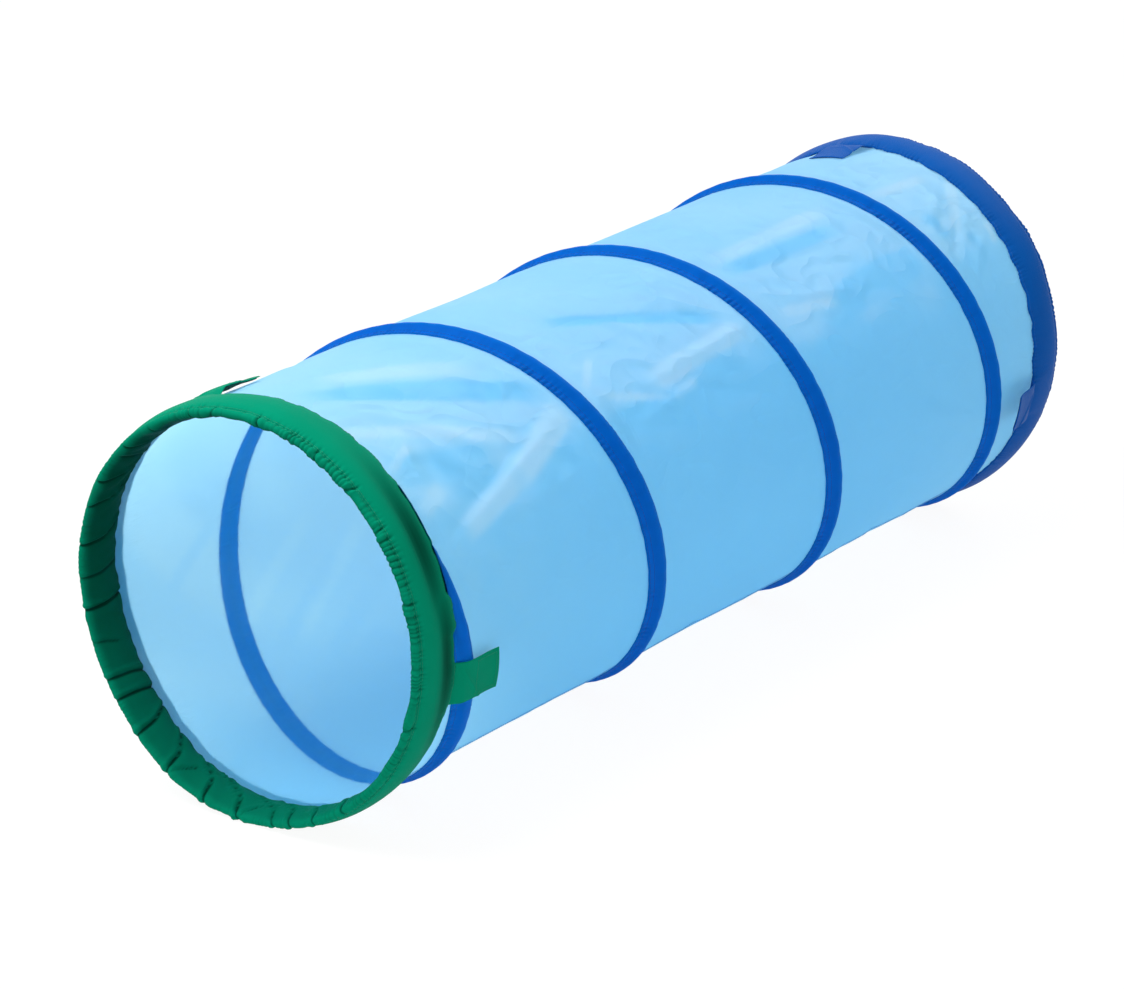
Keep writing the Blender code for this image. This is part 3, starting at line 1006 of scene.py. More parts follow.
@dataclass
class SpiralTape:
    """The gathered tape over the spiral wire, its stitches and the wire inside it."""

    half_width: float = 0.0175
    wall: float = 0.0008
    flat_height: float = 0.0044
    front_tuck: float = 0.024
    back_tuck: float = 0.010
    steps: int = 900
    ridge: Sequence[tuple[float, float]] = (
        (-0.0175, 0.0012), (-0.0125, 0.0014), (-0.0075, 0.0022), (-0.0035, 0.0046), (0.0005, 0.0072),
        (0.0050, 0.0080), (0.0095, 0.0068), (0.0130, 0.0034), (0.0175, 0.0012),
    )
    stitch_pitch: float = 0.0042
    stitch_rows: tuple[float, ...] = (-0.0145, -0.0075, 0.0150)
    stitch_steps: int = 2600
    wire_steps: int = 120
    seed: int = 5

    def section(self) -> Array:
        """The tape's closed section: its height and its place across, outer face first."""
        top = smooth_line([(height, across) for across, height in self.ridge], 2)
        under = top[::-2].copy()
        under[:, 0] = np.maximum(under[:, 0] - self.wall, 0.0001)
        under[0, 1] -= 0.0001
        under[-1, 1] += 0.0001
        return np.vstack((top, under))[::-1]

    def pucker(self, turn: Array, across: Array) -> Array:
        """How far the gathers lift the tape at places on it."""
        share = across / self.half_width
        front = bell(share + 0.72, 0.38)
        back = bell(share - 0.85, 0.20)
        fine = ring_waves(turn, across, (150, 240), 20.0, 12, self.seed)
        broad = ring_waves(turn, across, (40, 90), 10.0, 8, self.seed + 1)
        strength = 0.55 + 0.45 * ring_waves(turn, 0.0 * across, (2, 7), 0.0, 5, self.seed + 2)
        return np.clip(strength, 0.1, 1.2) * (0.0008 * front + 0.0004 * back) * fine + 0.0001 * broad * (1 - back)

    def place(self, turn: Array, across: Array, height: Array) -> Array:
        """Points on the tape."""
        lifted = height + self.pucker(turn, across) * smooth_step(height / 0.001)
        shifted = across + 0.0003 * ring_waves(turn, 0.0 * across, (30, 80), 0.0, 6, self.seed + 3)
        shifted = shifted + 0.0050 * smooth_step((2.9 - turn) / 0.7) * smooth_step(across / 0.012)
        along = TUNNEL.spiral_along(turn) + shifted
        lips = np.minimum(along - TUNNEL.front_lip, TUNNEL.back_lip - along)
        free = smooth_step((lips + UNDER_LIP) / 0.026)
        flat = self.flat_height
        lifted = np.where(lifted > flat, flat + (lifted - flat) * free, lifted)
        return TUNNEL.place(turn, along, TUNNEL.fabric_radius + lifted + TUNNEL.bulge(turn, along))

    def tape(self, start: float, end: float, spirals: SpiralRecipe, dye: Material) -> Piece:
        """Make the tape, from one turn to another."""
        section = self.section()
        mesh = spirals.sweep("spiral_tape", section, start, end, self.steps, dye)
        rings = len(mesh.vertices) // len(section)
        turn = np.repeat(np.linspace(start, end, rings), len(section))
        across, height = np.tile(section[:, 1], rings), np.tile(section[:, 0], rings)
        points = self.place(turn, across, height)
        points[:, 1] = np.clip(points[:, 1], TUNNEL.front_lip - UNDER_LIP, TUNNEL.back_lip + UNDER_LIP)
        move_points(mesh, points)
        corners = np.empty(len(mesh.loops), dtype=np.int32)
        mesh.loops.foreach_get("vertex_index", corners)
        lay_flat(mesh, np.stack((turn * TUNNEL.fabric_radius, across), axis=-1)[corners])
        # Painted shade in the valleys of the gathers; the tape is also darker along its front edge.
        shade = np.clip(-self.pucker(turn, across) / 0.0009, 0.0, 1.0) + 0.6 * bell(across + self.half_width, 0.0018)
        paint(mesh, "shade", np.clip(shade, 0.0, 1.0))
        tape = new_object("spiral_tape", mesh, [dye])
        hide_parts("spiral_casing")
        return tape

    def wire(self, start: float, end: float, spirals: SpiralRecipe, dye: Material) -> Piece:
        """Make the wire in the tape's ridge, from one turn to another."""
        circle = np.linspace(0.0, FULL_TURN, 10, endpoint=False)
        section = np.stack((np.cos(circle), np.sin(circle)), axis=-1) * TUNNEL.wire_radius
        section[:, 0] += TUNNEL.fit_gap + TUNNEL.wire_radius
        mesh = spirals.sweep("spiral_spring_wire", section, start, end, self.wire_steps, dye)
        aside, along, height = np.array([point.co for point in mesh.vertices], float).T
        height = height - TUNNEL.axis_height
        turn = np.arctan2(aside, height)
        move_points(mesh, TUNNEL.place(turn, along, np.hypot(aside, height) + TUNNEL.bulge(turn, along)))
        wire = new_object("spiral_spring_wire", mesh, [dye])
        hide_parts("spiral_wire")
        return wire

    def build(self, dyes: Dyes, spirals: SpiralRecipe, stitches: StitchRecipe) -> list[Piece]:
        """Make the tape, its stitches and its wire."""
        start = TUNNEL.spiral_turn(TUNNEL.front_lip - self.half_width - self.front_tuck)
        end = TUNNEL.spiral_turn(TUNNEL.back_lip + self.half_width + self.back_tuck)
        tape = self.tape(start, end, spirals, dyes[Finish.TAPE])
        low, high = (TUNNEL.spiral_turn(y) for y in (TUNNEL.front_lip + 0.002, TUNNEL.back_lip - 0.002))
        turn = np.linspace(low, high, self.stitch_steps)
        paths = []
        for across in self.stitch_rows:
            height = np.interp(across, *np.array(self.ridge).T)
            paths.append(self.place(turn, np.full_like(turn, across), np.full_like(turn, height + STITCH_LIFT)))
        thread = dyes[Finish.BLUE_THREAD]
        sewn = stitches.sew("spiral_tape_stitches", paths, self.stitch_pitch, THREAD_RADIUS, thread)
        wire = self.wire(low, high, spirals, dyes[Finish.STEEL])
        for piece, slot in ((tape, "blue_tape"), (sewn, "blue_tape"), (wire, "spring_steel")):
            collapse(piece)
        length = (end - start) * math.hypot(TUNNEL.fabric_radius, TUNNEL.pitch / FULL_TURN)
        return [tape, sewn, wire]


@dataclass
class Crease:
    """A pinched crease at a turn in degrees, from low to high as shares of the casing's width."""

    turn: float
    lean: float
    depth: float
    low: float
    high: float


@dataclass
class HoopCasing:
    """A cloth sleeve round an end hoop: its face, its rolled nose, its inner face and its stitches."""

    name: str
    node: str
    body: str
    slot: str
    finish: Finish
    thread: Finish
    wire_along: float
    wire_inset: float
    side: int
    section: Sequence[tuple[float, float]]
    stitch_point: int
    gather_depth: float
    gather_arc: tuple[float, float]
    pleat_count: int = 240
    hollows: Sequence[tuple[float, float, float, float, float]] = ()
    creases: Sequence[Crease] = ()
    shape: Sequence[tuple[float, float]] = ((0.0, 0.0),)
    lip_waves: float = 0.0006
    lip_lifts: Sequence[tuple[float, float, float]] = ()
    lip_gathers: float = 0.0002
    stitch_pitch: float = 0.0040
    stitch_row_gap: float = 0.0022
    lip_row: float = 0.0035
    slack: float = 1.12
    gathered: float = 1.15
    # How much painted shade the inner face and the hollows get.
    inner_shade: float = 0.7
    hollow_shade: float = 0.85
    columns: int = 1560
    steps: int = 2
    wall: float = 0.0008
    seed: int = 21

    def __post_init__(self) -> None:
        """Work out the section's line and its length at each point."""
        self.line = smooth_line(self.section, self.steps)
        lengths = np.linalg.norm(np.diff(self.line, axis=0), axis=-1)
        self.across = np.concatenate(((0.0,), np.cumsum(lengths)))
        self.stitch_row = float(self.across[self.stitch_point * self.steps])

    def relief(self, turn: Array, across: Array) -> tuple[Array, Array, Array]:
        """How the cloth stands off its smooth section.

        Args:
            turn: Turns in radians.
            across: Distances across the cloth from its outer lip.

        Returns:
            The soft shape, the fine pleats and creases, and how near each lip is, from 0 to 1.
        """
        width = self.across[-1]
        centre, arc = (math.radians(angle) for angle in self.gather_arc)
        near = 0.3 + 0.7 * bell(turn_gap(turn, centre), arc)
        row = self.stitch_row
        over = np.maximum(across - row - 0.010, 0.0)
        band = np.where(across < row, bell(across - row, 0.0050), bell(over, 0.0080))
        gathers = pleats(turn, across, self.pleat_count, self.seed)
        gathers = gathers + 0.6 * pleats(turn, across, self.pleat_count // 3, self.seed + 40)
        detail = self.gather_depth * near * band * gathers - 0.0006 * bell(across - row, 0.0018)
        lip_pleats = pleats(turn, across, self.pleat_count, self.seed + 50)
        detail = detail + self.lip_gathers * bell(across, 0.0070) * lip_pleats
        for crease in self.creases:
            low, high = crease.low * width, crease.high * width
            middle = (low + high) / 2
            skewed = math.radians(crease.turn) + crease.lean * (across - middle) / TUNNEL.fabric_radius
            skewed = skewed + 0.5 * crease.lean * np.abs(across - middle) / TUNNEL.fabric_radius
            away = turn_gap(turn, skewed) * TUNNEL.fabric_radius
            held = smooth_step((across - low) / 0.010 + 0.5) * smooth_step((high - across) / 0.010 + 0.5)
            dent = 0.6 * bell(away - 0.0050, 0.0036) - np.exp(-np.abs(away) / 0.0016) + 0.35 * bell(away + 0.010, 0.007)
            detail = detail + crease.depth * held * dent
        shape = np.zeros(np.broadcast(turn, across).shape)
        for hollow in self.hollows:
            shape = shape - hollow[-1] * self.sag(turn, across, hollow)
        inner = smooth_step((across - 0.5 * width) / (0.1 * width))
        soft = ring_waves(turn, across, (5, 16), 6.0, 8, self.seed + 2)
        rumple = ring_waves(turn, across, (16, 44), 18.0, 9, self.seed + 6)
        shape = shape + (0.0005 * soft + 0.0007 * inner * rumple) * np.sin(math.pi * np.clip(across / width, 0.0, 1.0))
        lips = bell(across, 0.006) + bell(across - width, 0.006)
        wave = 0.7 * ring_waves(turn, 0.0 * across, (40, 110), 0.0, 9, self.seed + 3)
        wave = wave + 0.5 * ring_waves(turn, 0.0 * across, (9, 22), 0.0, 5, self.seed + 4)
        shape = shape + self.lip_waves * lips * np.maximum(wave, -0.7)
        for lifted, raised, reach in self.lip_lifts:
            away = np.abs(gap_at(turn, lifted)) * TUNNEL.fabric_radius
            shape = shape + raised * smooth_step((reach + 0.006 - away) / 0.012) * bell(across, 0.020)
        return shape, detail, lips

    def sag(self, turn: Array, across: Array, hollow: tuple, shift: float = 1.0, widen: float = 1.0) -> Array:
        """How far into a hollow places are: its centre and arc in degrees, its row and its width across."""
        centre, arc, row, width, _ = hollow
        return bell(gap_at(turn, centre) / math.radians(arc), 1.0) * bell(across - shift * row, widen * width)

    def shade(self, turn: Array, across: Array) -> Array:
        """Painted shade, from 0 to 1: in pleat and crease valleys, in the hollows and over the inner face."""
        _, detail, _ = self.relief(turn, across)
        # Painted shade in pleat and crease valleys, over the inner face and in the hollows.
        deep = np.clip(-detail / 0.0016, 0.0, 1.0)
        inside = smooth_step((across / self.across[-1] - 0.50) / 0.15)
        hollow = np.zeros_like(deep)
        for sag in self.hollows:
            hollow = np.maximum(hollow, self.sag(turn, across, sag, 0.8, 1.5))
        # The inner face's painted shade is heaviest at the upper left and lightest at the bottom.
        inside = inside * (1.0 + 0.35 * np.cos(turn - math.radians(330.0)))
        return np.clip(0.7 * deep + self.inner_shade * inside + self.hollow_shade * hollow, 0.0, 1.0)

    def surface(self, turn: Array, across: Array, lift: float = 0.0) -> Array:
        """Points on the casing.

        Args:
            turn: Turns in radians.
            across: Distances across the cloth from its outer lip.
            lift: Height above the cloth's outer face.

        Returns:
            The points.
        """
        slope_rise, slope_along = self.side * np.gradient(self.line, self.across, axis=0).T
        columns = (*self.line.T, slope_along, -slope_rise)
        rise, along, out_rise, out_along = (np.interp(across, self.across, column) for column in columns)
        fit = np.maximum(np.hypot(out_rise, out_along), 1e-9)
        shape, detail, lips = self.relief(turn, across)
        bulge = lift + shape + detail
        shift = 0.0011 * lips * ring_waves(turn, 0.0 * across, (14, 46), 0.0, 8, self.seed + 5)
        rise, along = rise + bulge * out_rise / fit, along + bulge * out_along / fit + shift
        reach = TUNNEL.wire_room + self.wall + min(lift, 0.0)
        push = np.maximum(reach / np.maximum(np.hypot(rise, along - self.wire_inset), 1e-6), 1.0)
        along = self.wire_along + self.wire_inset + (along - self.wire_inset) * push
        places = TUNNEL.place(turn, along, TUNNEL.fabric_radius + rise * push + ring_offset(self.shape, turn))
        places[..., 2] = np.maximum(places[..., 2], TUNNEL.floor_rest)
        return places

    def build(self, dyes: Dyes, stitches: StitchRecipe) -> list[Piece]:
        """Make the casing and its stitches."""
        turn = np.arange(self.columns) / self.columns * FULL_TURN
        turns, across = np.meshgrid(turn, self.across)
        outer = self.surface(turns, across)
        turns, across = np.meshgrid(turn, self.across[:: -self.steps])
        grid = np.concatenate((outer, self.surface(turns, across, -self.wall)))
        turns, across = np.meshgrid(turn, np.concatenate((self.across, self.across[:: -self.steps])))
        # The painted shade goes on the mesh as the "shade" attribute.
        shade = self.shade(turns, across)
        grid, shade = (grid[::-1], shade[::-1]) if self.side > 0 else (grid, shade)
        mesh = band_mesh(self.name, grid, np.linspace(0.0, FULL_TURN * TUNNEL.fabric_radius, self.columns + 1))
        paint(mesh, "shade", shade)
        casing = new_object(self.name, mesh, [dyes[self.finish]])
        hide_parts(self.node)
        turn = np.linspace(0.0, FULL_TURN, 1400)
        row = self.stitch_row
        rows = ((row - self.stitch_row_gap, STITCH_LIFT), (row, STITCH_LIFT), (self.lip_row, 0.0))
        paths = [self.surface(turn, np.full_like(turn, row), lift) for row, lift in rows]
        sewn = stitches.sew(self.name + "_stitches", paths, self.stitch_pitch, THREAD_RADIUS, dyes[self.thread])
        for piece in (casing, sewn):
            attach(piece, self.body)
        return [casing, sewn]


@dataclass
class JoiningTab:
    """A webbing tab that comes out from under a casing's lip, with its patch and its stitches."""

    name: str
    patch: str
    casing_body: str
    slot: str
    patch_slot: str
    finish: Finish
    patch_finish: Finish
    thread: Finish
    turn: float
    slope: float
    hinge_along: float
    hinge_radius: float
    side: int
    length: float
    rise: float = 0.0
    skew: float = 0.0
    lip_gap: float = 0.009
    width: float = 0.052
    wall: float = 0.0015
    hidden: float = 0.006
    patch_length: float = 0.038
    patch_wall: float = 0.0012
    patch_margin: float = 0.003
    stitch_inset: float = 0.0018
    stitch_pitch: float = 0.0034

    def surface(self, out: Array, aside: Array, lift: float) -> Array:
        """Points on the tab.

        Args:
            out: Distances from the hinge towards the tip.
            aside: Distances across from the middle line.
            lift: Height above the tab's middle layer.

        Returns:
            The points.
        """
        slope, lip = math.radians(self.slope), self.lip_gap
        share = np.clip((out - lip) / (self.length - lip), 0.0, 1.0)
        dive = smooth_step((out - lip + self.hidden) / 0.022)
        under = TUNNEL.fabric_radius + 0.0011 - self.hinge_radius
        height = dive * (out * math.sin(slope) + self.rise) + (1 - dive) * under
        height = height + 0.0014 * np.sin(1.7 * math.pi * share)
        height = height - 0.0020 * (aside / (self.width / 2)) ** 2 * share
        crease = bell((out - lip - 0.014) - 0.75 * (aside + 0.010), 0.0030)
        height = height + 0.0012 * crease * smooth_step((out - lip) / 0.01)
        forward = out * math.cos(slope) + self.skew * aside * share
        centre = math.radians(self.turn)
        radial = np.array((math.sin(centre), 0.0, math.cos(centre)))
        around = np.array((math.cos(centre), 0.0, -math.sin(centre)))
        ahead = np.array((0.0, float(self.side), 0.0))
        origin = TUNNEL.place(centre, self.hinge_along, self.hinge_radius)
        drop = TUNNEL.fabric_radius - np.sqrt(np.maximum(TUNNEL.fabric_radius**2 - aside**2, 0.0))
        lifted = height - (1 - dive) * drop + lift
        return origin + lifted[..., None] * radial + aside[..., None] * around + forward[..., None] * ahead

    def build(self, dyes: Dyes, stitches: StitchRecipe) -> list[Piece]:
        """Make the tab, its patch and its stitches."""
        start, half = self.lip_gap - self.hidden, self.width / 2
        out, aside = np.meshgrid(np.linspace(start, self.length, 66), np.linspace(-half, half, 34), indexing="ij")
        edge = np.minimum(half - np.abs(aside), self.length - out)
        rounded = np.sqrt(np.clip(edge / 0.0012, 0.0, 1.0))
        wall = self.wall * (0.35 + 0.65 * rounded)
        top = self.surface(out, aside, 0.0) + self._up() * (wall / 2)[..., None]
        shell = ClothShell(self.name + "_cloth", top, wall, flip=self.side > 0)
        strap = new_object(self.name + "_cloth", shell.mesh(), [dyes[self.finish]])
        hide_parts(self.name)
        self._at(self.lip_gap)
        self._at(self.lip_gap + 0.010)
        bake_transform(strap)
        low, high = self.length - self.patch_margin - self.patch_length, self.length - self.patch_margin
        across = half - self.patch_margin
        out, aside = np.meshgrid(np.linspace(low, high, 34), np.linspace(-across, across, 38), indexing="ij")
        edge = np.minimum.reduce((across - np.abs(aside), out - low, high - out))
        fuzz = 0.00012 * np.sin(out * 2600.0) * np.sin(aside * 2600.0)
        thick = self.patch_wall * (0.45 + 0.55 * np.sqrt(np.clip(edge / 0.0015, 0.0, 1.0))) + fuzz
        face = self.surface(out, aside, 0.0) - self._up() * (self.wall / 2 + 0.00005)
        node = self.name + "_" + self.patch
        shell = ClothShell(node + "_pile", face, thick, flip=self.side > 0)
        patch = new_object(node + "_pile", shell.mesh(), [dyes[self.patch_finish]])
        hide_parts(node)
        near, far, beside = (at + shift * self.stitch_inset for at, shift in ((low, 1), (high, -1), (across, -1)))
        square = ((near, -beside), (near, beside), (far, beside), (far, -beside), (near, -beside))
        path = np.vstack([np.linspace(*ends, 30, endpoint=False) for ends in zip(square, square[1:])])
        seam = self.surface(*path.T, self.wall / 2 + STITCH_LIFT)
        sewn = stitches.sew(self.name + "_stitches", [seam], self.stitch_pitch, THREAD_RADIUS, dyes[self.thread])
        for piece in (patch, sewn):
            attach(piece, self.name)
        return [strap, patch, sewn]

    def _up(self) -> Array:
        """The tab's outward direction at rest."""
        slope, centre = math.radians(self.slope), math.radians(self.turn)
        flat = math.cos(slope)
        return np.array((math.sin(centre) * flat, -self.side * math.sin(slope), math.cos(centre) * flat))

    def _at(self, out: float) -> tuple[float, float, float]:
        """A point in line with the hinge, some way towards the tip."""
        origin = TUNNEL.place(math.radians(self.turn), self.hinge_along + self.side * out, self.hinge_radius)
        return tuple(float(part) for part in origin)


@dataclass
class HoopWire:
    """A hoop's spring wire, bent to its casing's shape, with its two ends facing in the ferrule."""

    casing: HoopCasing
    name: str
    node: str
    ferrule_turn: float
    end_gap: float = 0.001
    sides: int = 12
    steps: int = 360

    def build(self, dyes: Dyes) -> Piece:
        """Make the wire."""
        spare = self.end_gap / 2 / TUNNEL.fabric_radius
        turn = self.ferrule_turn + np.linspace(spare, FULL_TURN - spare, self.steps)
        angle = np.arange(self.sides)[:, None] / self.sides * FULL_TURN
        radius = TUNNEL.fabric_radius + ring_offset(self.casing.shape, turn) + TUNNEL.wire_radius * np.cos(angle)
        along = self.casing.wire_along + self.casing.wire_inset - TUNNEL.wire_radius * np.sin(angle)
        points = TUNNEL.place(turn, along, radius)
        number = np.arange(self.sides * self.steps).reshape(self.sides, self.steps)
        below = np.roll(number, -1, axis=0)
        face = np.stack((number[:, :-1], below[:, :-1], below[:, 1:], number[:, 1:]), -1).reshape(-1, 4)
        caps = [number[::-1, 0].tolist(), number[:, -1].tolist()]
        mesh = new_mesh(self.name, points, face.tolist() + caps)
        wire = new_object(self.name, mesh, [dyes[Finish.STEEL]])
        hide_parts(self.node)
        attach(wire, self.casing.body)
        return wire


class KeptSteel:
    """The back hoop and the ferrules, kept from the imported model."""

    nodes: tuple[str, ...] = ("front_hoop_ferrule", "back_hoop_wire", "back_hoop_ferrule")

    def build(self, dyes: Dyes) -> list[Piece]:
        """Give each its steel."""
        found = [frame["nodes"][name] for name in self.nodes]
        for node in found:
            for slot in node.material_slots:
                slot.material = dyes[Finish.STEEL]
        return found


# Floor, light and camera


def set_down(thing: Piece, place: Vector, ahead: Vector) -> None:
    """Put a camera or a lamp in its place, looking ahead."""
    thing.location = place
    thing.rotation_mode = "QUATERNION"
    thing.rotation_quaternion = ahead.to_track_quat("-Z", "Y")


@dataclass
class Studio:
    """A white floor and backdrop, soft light from above and the photograph's camera."""

    azimuth: float = 35.7518
    elevation: float = 19.931
    distance: float = 5.8752
    focal_pixels: float = 4721.3
    target: tuple[float, float, float] = (-0.1437, 0.7693, 0.12467)
    sensor: float = 36.0
    middle: tuple[float, float, float] = (0.0, 0.65, 0.25)
    world_strength: float = 0.50
    key_power: float = 110.0
    fill_power: float = 26.0
    back_power: float = 60.0
    floor_seen: float = 0.90
    floor_bounce: float = 0.42
    floor_reach: float = 14.0

    def camera(self) -> None:
        """Place the camera."""
        data = bpy.data.cameras.new("photo_camera")
        data.sensor_fit = "HORIZONTAL"
        data.sensor_width = self.sensor
        data.lens = self.focal_pixels / PHOTO_WIDTH * self.sensor
        data.clip_end = 50.0
        camera = add_object("photo_camera", data)
        side, up = math.radians(self.azimuth), math.radians(self.elevation)
        back = Vector((math.sin(side) * math.cos(up), -math.cos(side) * math.cos(up), math.sin(up)))
        set_down(camera, Vector(self.target) + back * self.distance, -back)
        bpy.context.scene.camera = camera

    def world(self) -> None:
        """A white surrounding that lights softly and shows as pure white."""
        world = bpy.data.worlds.new("studio_white")
        world.use_nodes = True
        tree = world.node_tree
        tree.nodes.clear()
        rays = add_node(tree, "ShaderNodeLightPath", {}, {}).outputs
        soft = add_node(tree, "ShaderNodeBackground", {}, {"Color": WHITE, "Strength": self.world_strength})
        plain = add_node(tree, "ShaderNodeBackground", {}, {"Color": WHITE})
        either = {0: rays["Is Camera Ray"], 1: rays["Is Glossy Ray"]}
        seen = add_node(tree, "ShaderNodeMath", {"operation": "MAXIMUM"}, either)
        mixed = {0: seen.outputs[0], 1: soft.outputs[0], 2: plain.outputs[0]}
        mix = add_node(tree, "ShaderNodeMixShader", {}, mixed)
        add_node(tree, "ShaderNodeOutputWorld", {}, {"Surface": mix.outputs[0]})
        bpy.context.scene.world = world

    def floor(self) -> None:
        """A white floor that keeps a faint shadow."""
        tree = ShaderTree("studio_floor")
        path = tree.node("ShaderNodeLightPath", {}, {}, out="Is Camera Ray")
        plain = tree.node("ShaderNodeBsdfDiffuse", {}, {"Color": (0.9, 0.9, 0.9, 1.0)})
        glow = tree.node("ShaderNodeEmission", {}, {"Color": WHITE, "Strength": 1.04})
        share = path * (self.floor_seen - self.floor_bounce) + self.floor_bounce
        material = tree.finish(tree.node("ShaderNodeMixShader", {}, {0: share, 1: plain, 2: glow}))
        corners = self.floor_reach * np.array(((-1, -1, 0), (1, -1, 0), (1, 1, 0), (-1, 1, 0)))
        mesh = new_mesh("studio_floor", corners, [(0, 1, 2, 3)])
        new_object("studio_floor", mesh, [material])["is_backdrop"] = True

    def lamp(self, name: str, place: Vector, size: tuple[float, float], power: float) -> None:
        """Add a soft area light that looks at the tunnel's middle."""
        data = bpy.data.lights.new(name, "AREA")
        data.shape = "RECTANGLE"
        data.size, data.size_y = size
        data.energy = power
        set_down(add_object(name, data), place, Vector(self.middle) - place)

    def build(self) -> None:
        """Set the whole studio up."""
        bpy.context.scene.view_settings.view_transform = "Standard"
        self.camera()
        self.world()
        self.floor()
        self.lamp("overhead_softbox", Vector((-0.9, -0.7, 3.0)), (2.2, 2.2), self.key_power)
        self.lamp("back_softbox", Vector((0.3, 4.1, 3.0)), (3.4, 1.2), self.back_power)
        self.lamp("front_softbox", Vector((2.6, -3.2, 1.8)), (2.4, 2.4), self.fill_power)


# The tunnel's own sizes

PHOTO_FOLDS = tuple(
    Fold(row[:2], row[2:4], *row[4:])
    for row in (
        (14.0, 0.060, 41.0, 0.190, 0.0105, 0.0050), (4.0, 0.070, 32.0, 0.245, 0.0110, -0.0046),
        (43.0, 0.350, 62.0, 0.100, 0.0120, 0.0040), (46.0, 0.250, 63.0, 0.070, 0.0150, -0.0036),
        (30.0, 0.100, 48.0, 0.062, 0.0090, 0.0028), (20.0, 0.300, 34.0, 0.250, 0.0120, -0.0024),
        (15.0, 0.480, 34.0, 0.675, 0.0110, -0.0046), (16.0, 0.490, 41.0, 0.600, 0.0110, 0.0036),
        (46.0, 0.523, 42.0, 0.730, 0.0090, 0.0036), (52.0, 0.585, 55.0, 0.480, 0.0100, 0.0030),
        (50.0, 0.550, 64.0, 0.710, 0.0130, -0.0030), (24.0, 0.440, 36.0, 0.520, 0.0100, -0.0022),
        (40.0, 0.815, 46.0, 0.950, 0.0095, 0.0036), (30.0, 0.860, 38.0, 0.990, 0.0110, -0.0030),
        (26.0, 1.240, 41.0, 1.145, 0.0080, 0.0030), (36.0, 1.240, 51.0, 1.150, 0.0095, -0.0036),
        (47.0, 1.240, 61.0, 1.165, 0.0090, 0.0028), (0.0, 1.225, 4.0, 1.050, 0.0070, 0.0022),
        (12.0, 1.200, 20.0, 1.020, 0.0080, -0.0024), (12.0, 0.810, 18.0, 0.620, 0.0090, 0.0026),
        (10.0, 0.392, 12.0, 0.269, 0.0100, -0.0022), (30.0, 0.960, 27.0, 0.815, 0.0090, -0.0026),
        (70.0, 0.111, 92.0, 0.175, 0.0160, 0.0024), (80.0, 0.955, 94.0, 1.100, 0.0140, -0.0022),
        (262.0, 0.090, 236.0, 0.240, 0.0120, -0.0024), (236.0, 0.100, 214.0, 0.230, 0.0130, -0.0024),
        (284.0, 0.130, 262.0, 0.300, 0.0140, 0.0022), (230.0, 0.300, 205.0, 0.480, 0.0140, -0.0024),
    )
)

# Glints are patches of painted highlight, which take it away where the amount is below 0: start and end as turn and
# along, width and amount.
PHOTO_GLINTS = tuple(
    Glint(row[:2], row[2:4], *row[4:])
    for row in (
        (22.0, 0.029, 44.0, 0.250, 0.0080, 0.6), (44.0, 0.339, 55.0, 0.225, 0.0154, 0.95),
        (55.0, 0.215, 62.0, 0.110, 0.0134, 0.85), (35.0, 0.096, 39.0, 0.053, 0.0051, 0.6),
        (46.0, 0.523, 43.0, 0.695, 0.0122, 0.85), (45.0, 0.428, 54.0, 0.537, 0.0045, 0.6),
        (33.0, 0.445, 40.0, 0.405, 0.0048, 0.5), (52.0, 0.583, 54.0, 0.532, 0.0083, 0.65),
        (0.0, 0.129, 18.0, 0.273, 0.0128, 0.5), (49.0, 0.102, 53.0, 0.056, 0.0096, 0.4),
        (6.0, 0.082, 35.0, 0.328, 0.0144, -0.65), (40.0, 0.051, 47.0, 0.192, 0.0192, -0.6),
        (16.0, 0.469, 35.0, 0.670, 0.0096, -0.95), (55.0, 0.432, 59.0, 0.659, 0.0192, -0.8),
        (24.0, 0.782, 25.0, 0.993, 0.0101, -0.6), (48.0, 0.911, 45.0, 1.081, 0.0181, -0.7),
        (18.0, 0.783, 17.0, 1.014, 0.0094, 0.5), (44.0, 0.799, 47.0, 0.895, 0.0065, 0.45),
        (27.0, 1.265, 41.0, 1.205, 0.0072, 0.8), (43.0, 1.266, 51.0, 1.254, 0.0043, 0.6),
        (34.0, 1.162, 43.0, 1.174, 0.0094, -0.6), (45.0, 1.219, 51.0, 1.217, 0.0065, -0.5),
        (19.0, 1.123, 21.0, 1.235, 0.0072, 0.4), (267.0, 0.197, 252.0, 0.092, 0.0087, -0.5),
        (243.0, 0.390, 223.0, 0.212, 0.0087, -0.45), (234.0, 0.461, 219.0, 0.320, 0.0100, -0.45),
        (249.0, 0.456, 229.0, 0.296, 0.0100, 0.45), (257.0, 0.363, 236.0, 0.206, 0.0100, 0.4),
        (210.0, 0.407, 194.0, 0.225, 0.0373, -0.8), (213.0, 0.210, 201.0, 0.059, 0.0087, -0.3),
    )
)

FRONT_SECTION = (
    (0.0012, 0.0438), (0.0048, 0.0360), (0.0080, 0.0255), (0.0096, 0.0145), (0.0100, 0.0040), (0.0090, -0.0055),
    (0.0074, -0.0130), (0.0042, -0.0192), (0.0048, -0.0240), (0.0024, -0.0272), (-0.0014, -0.0274),
    (-0.0046, -0.0240), (-0.0064, -0.0180), (-0.0080, -0.0100), (-0.0088, 0.0000), (-0.0080, 0.0110),
    (-0.0058, 0.0210), (-0.0026, 0.0285),
)

BACK_SECTION = (
    (0.0014, -0.0350), (0.0046, -0.0280), (0.0076, -0.0180), (0.0092, -0.0070), (0.0092, 0.0030), (0.0076, 0.0105),
    (0.0046, 0.0150), (0.0048, 0.0190), (0.0024, 0.0217), (-0.0012, 0.0219), (-0.0042, 0.0190), (-0.0056, 0.0120),
    (-0.0062, 0.0020), (-0.0054, -0.0090), (-0.0026, -0.0180),
)

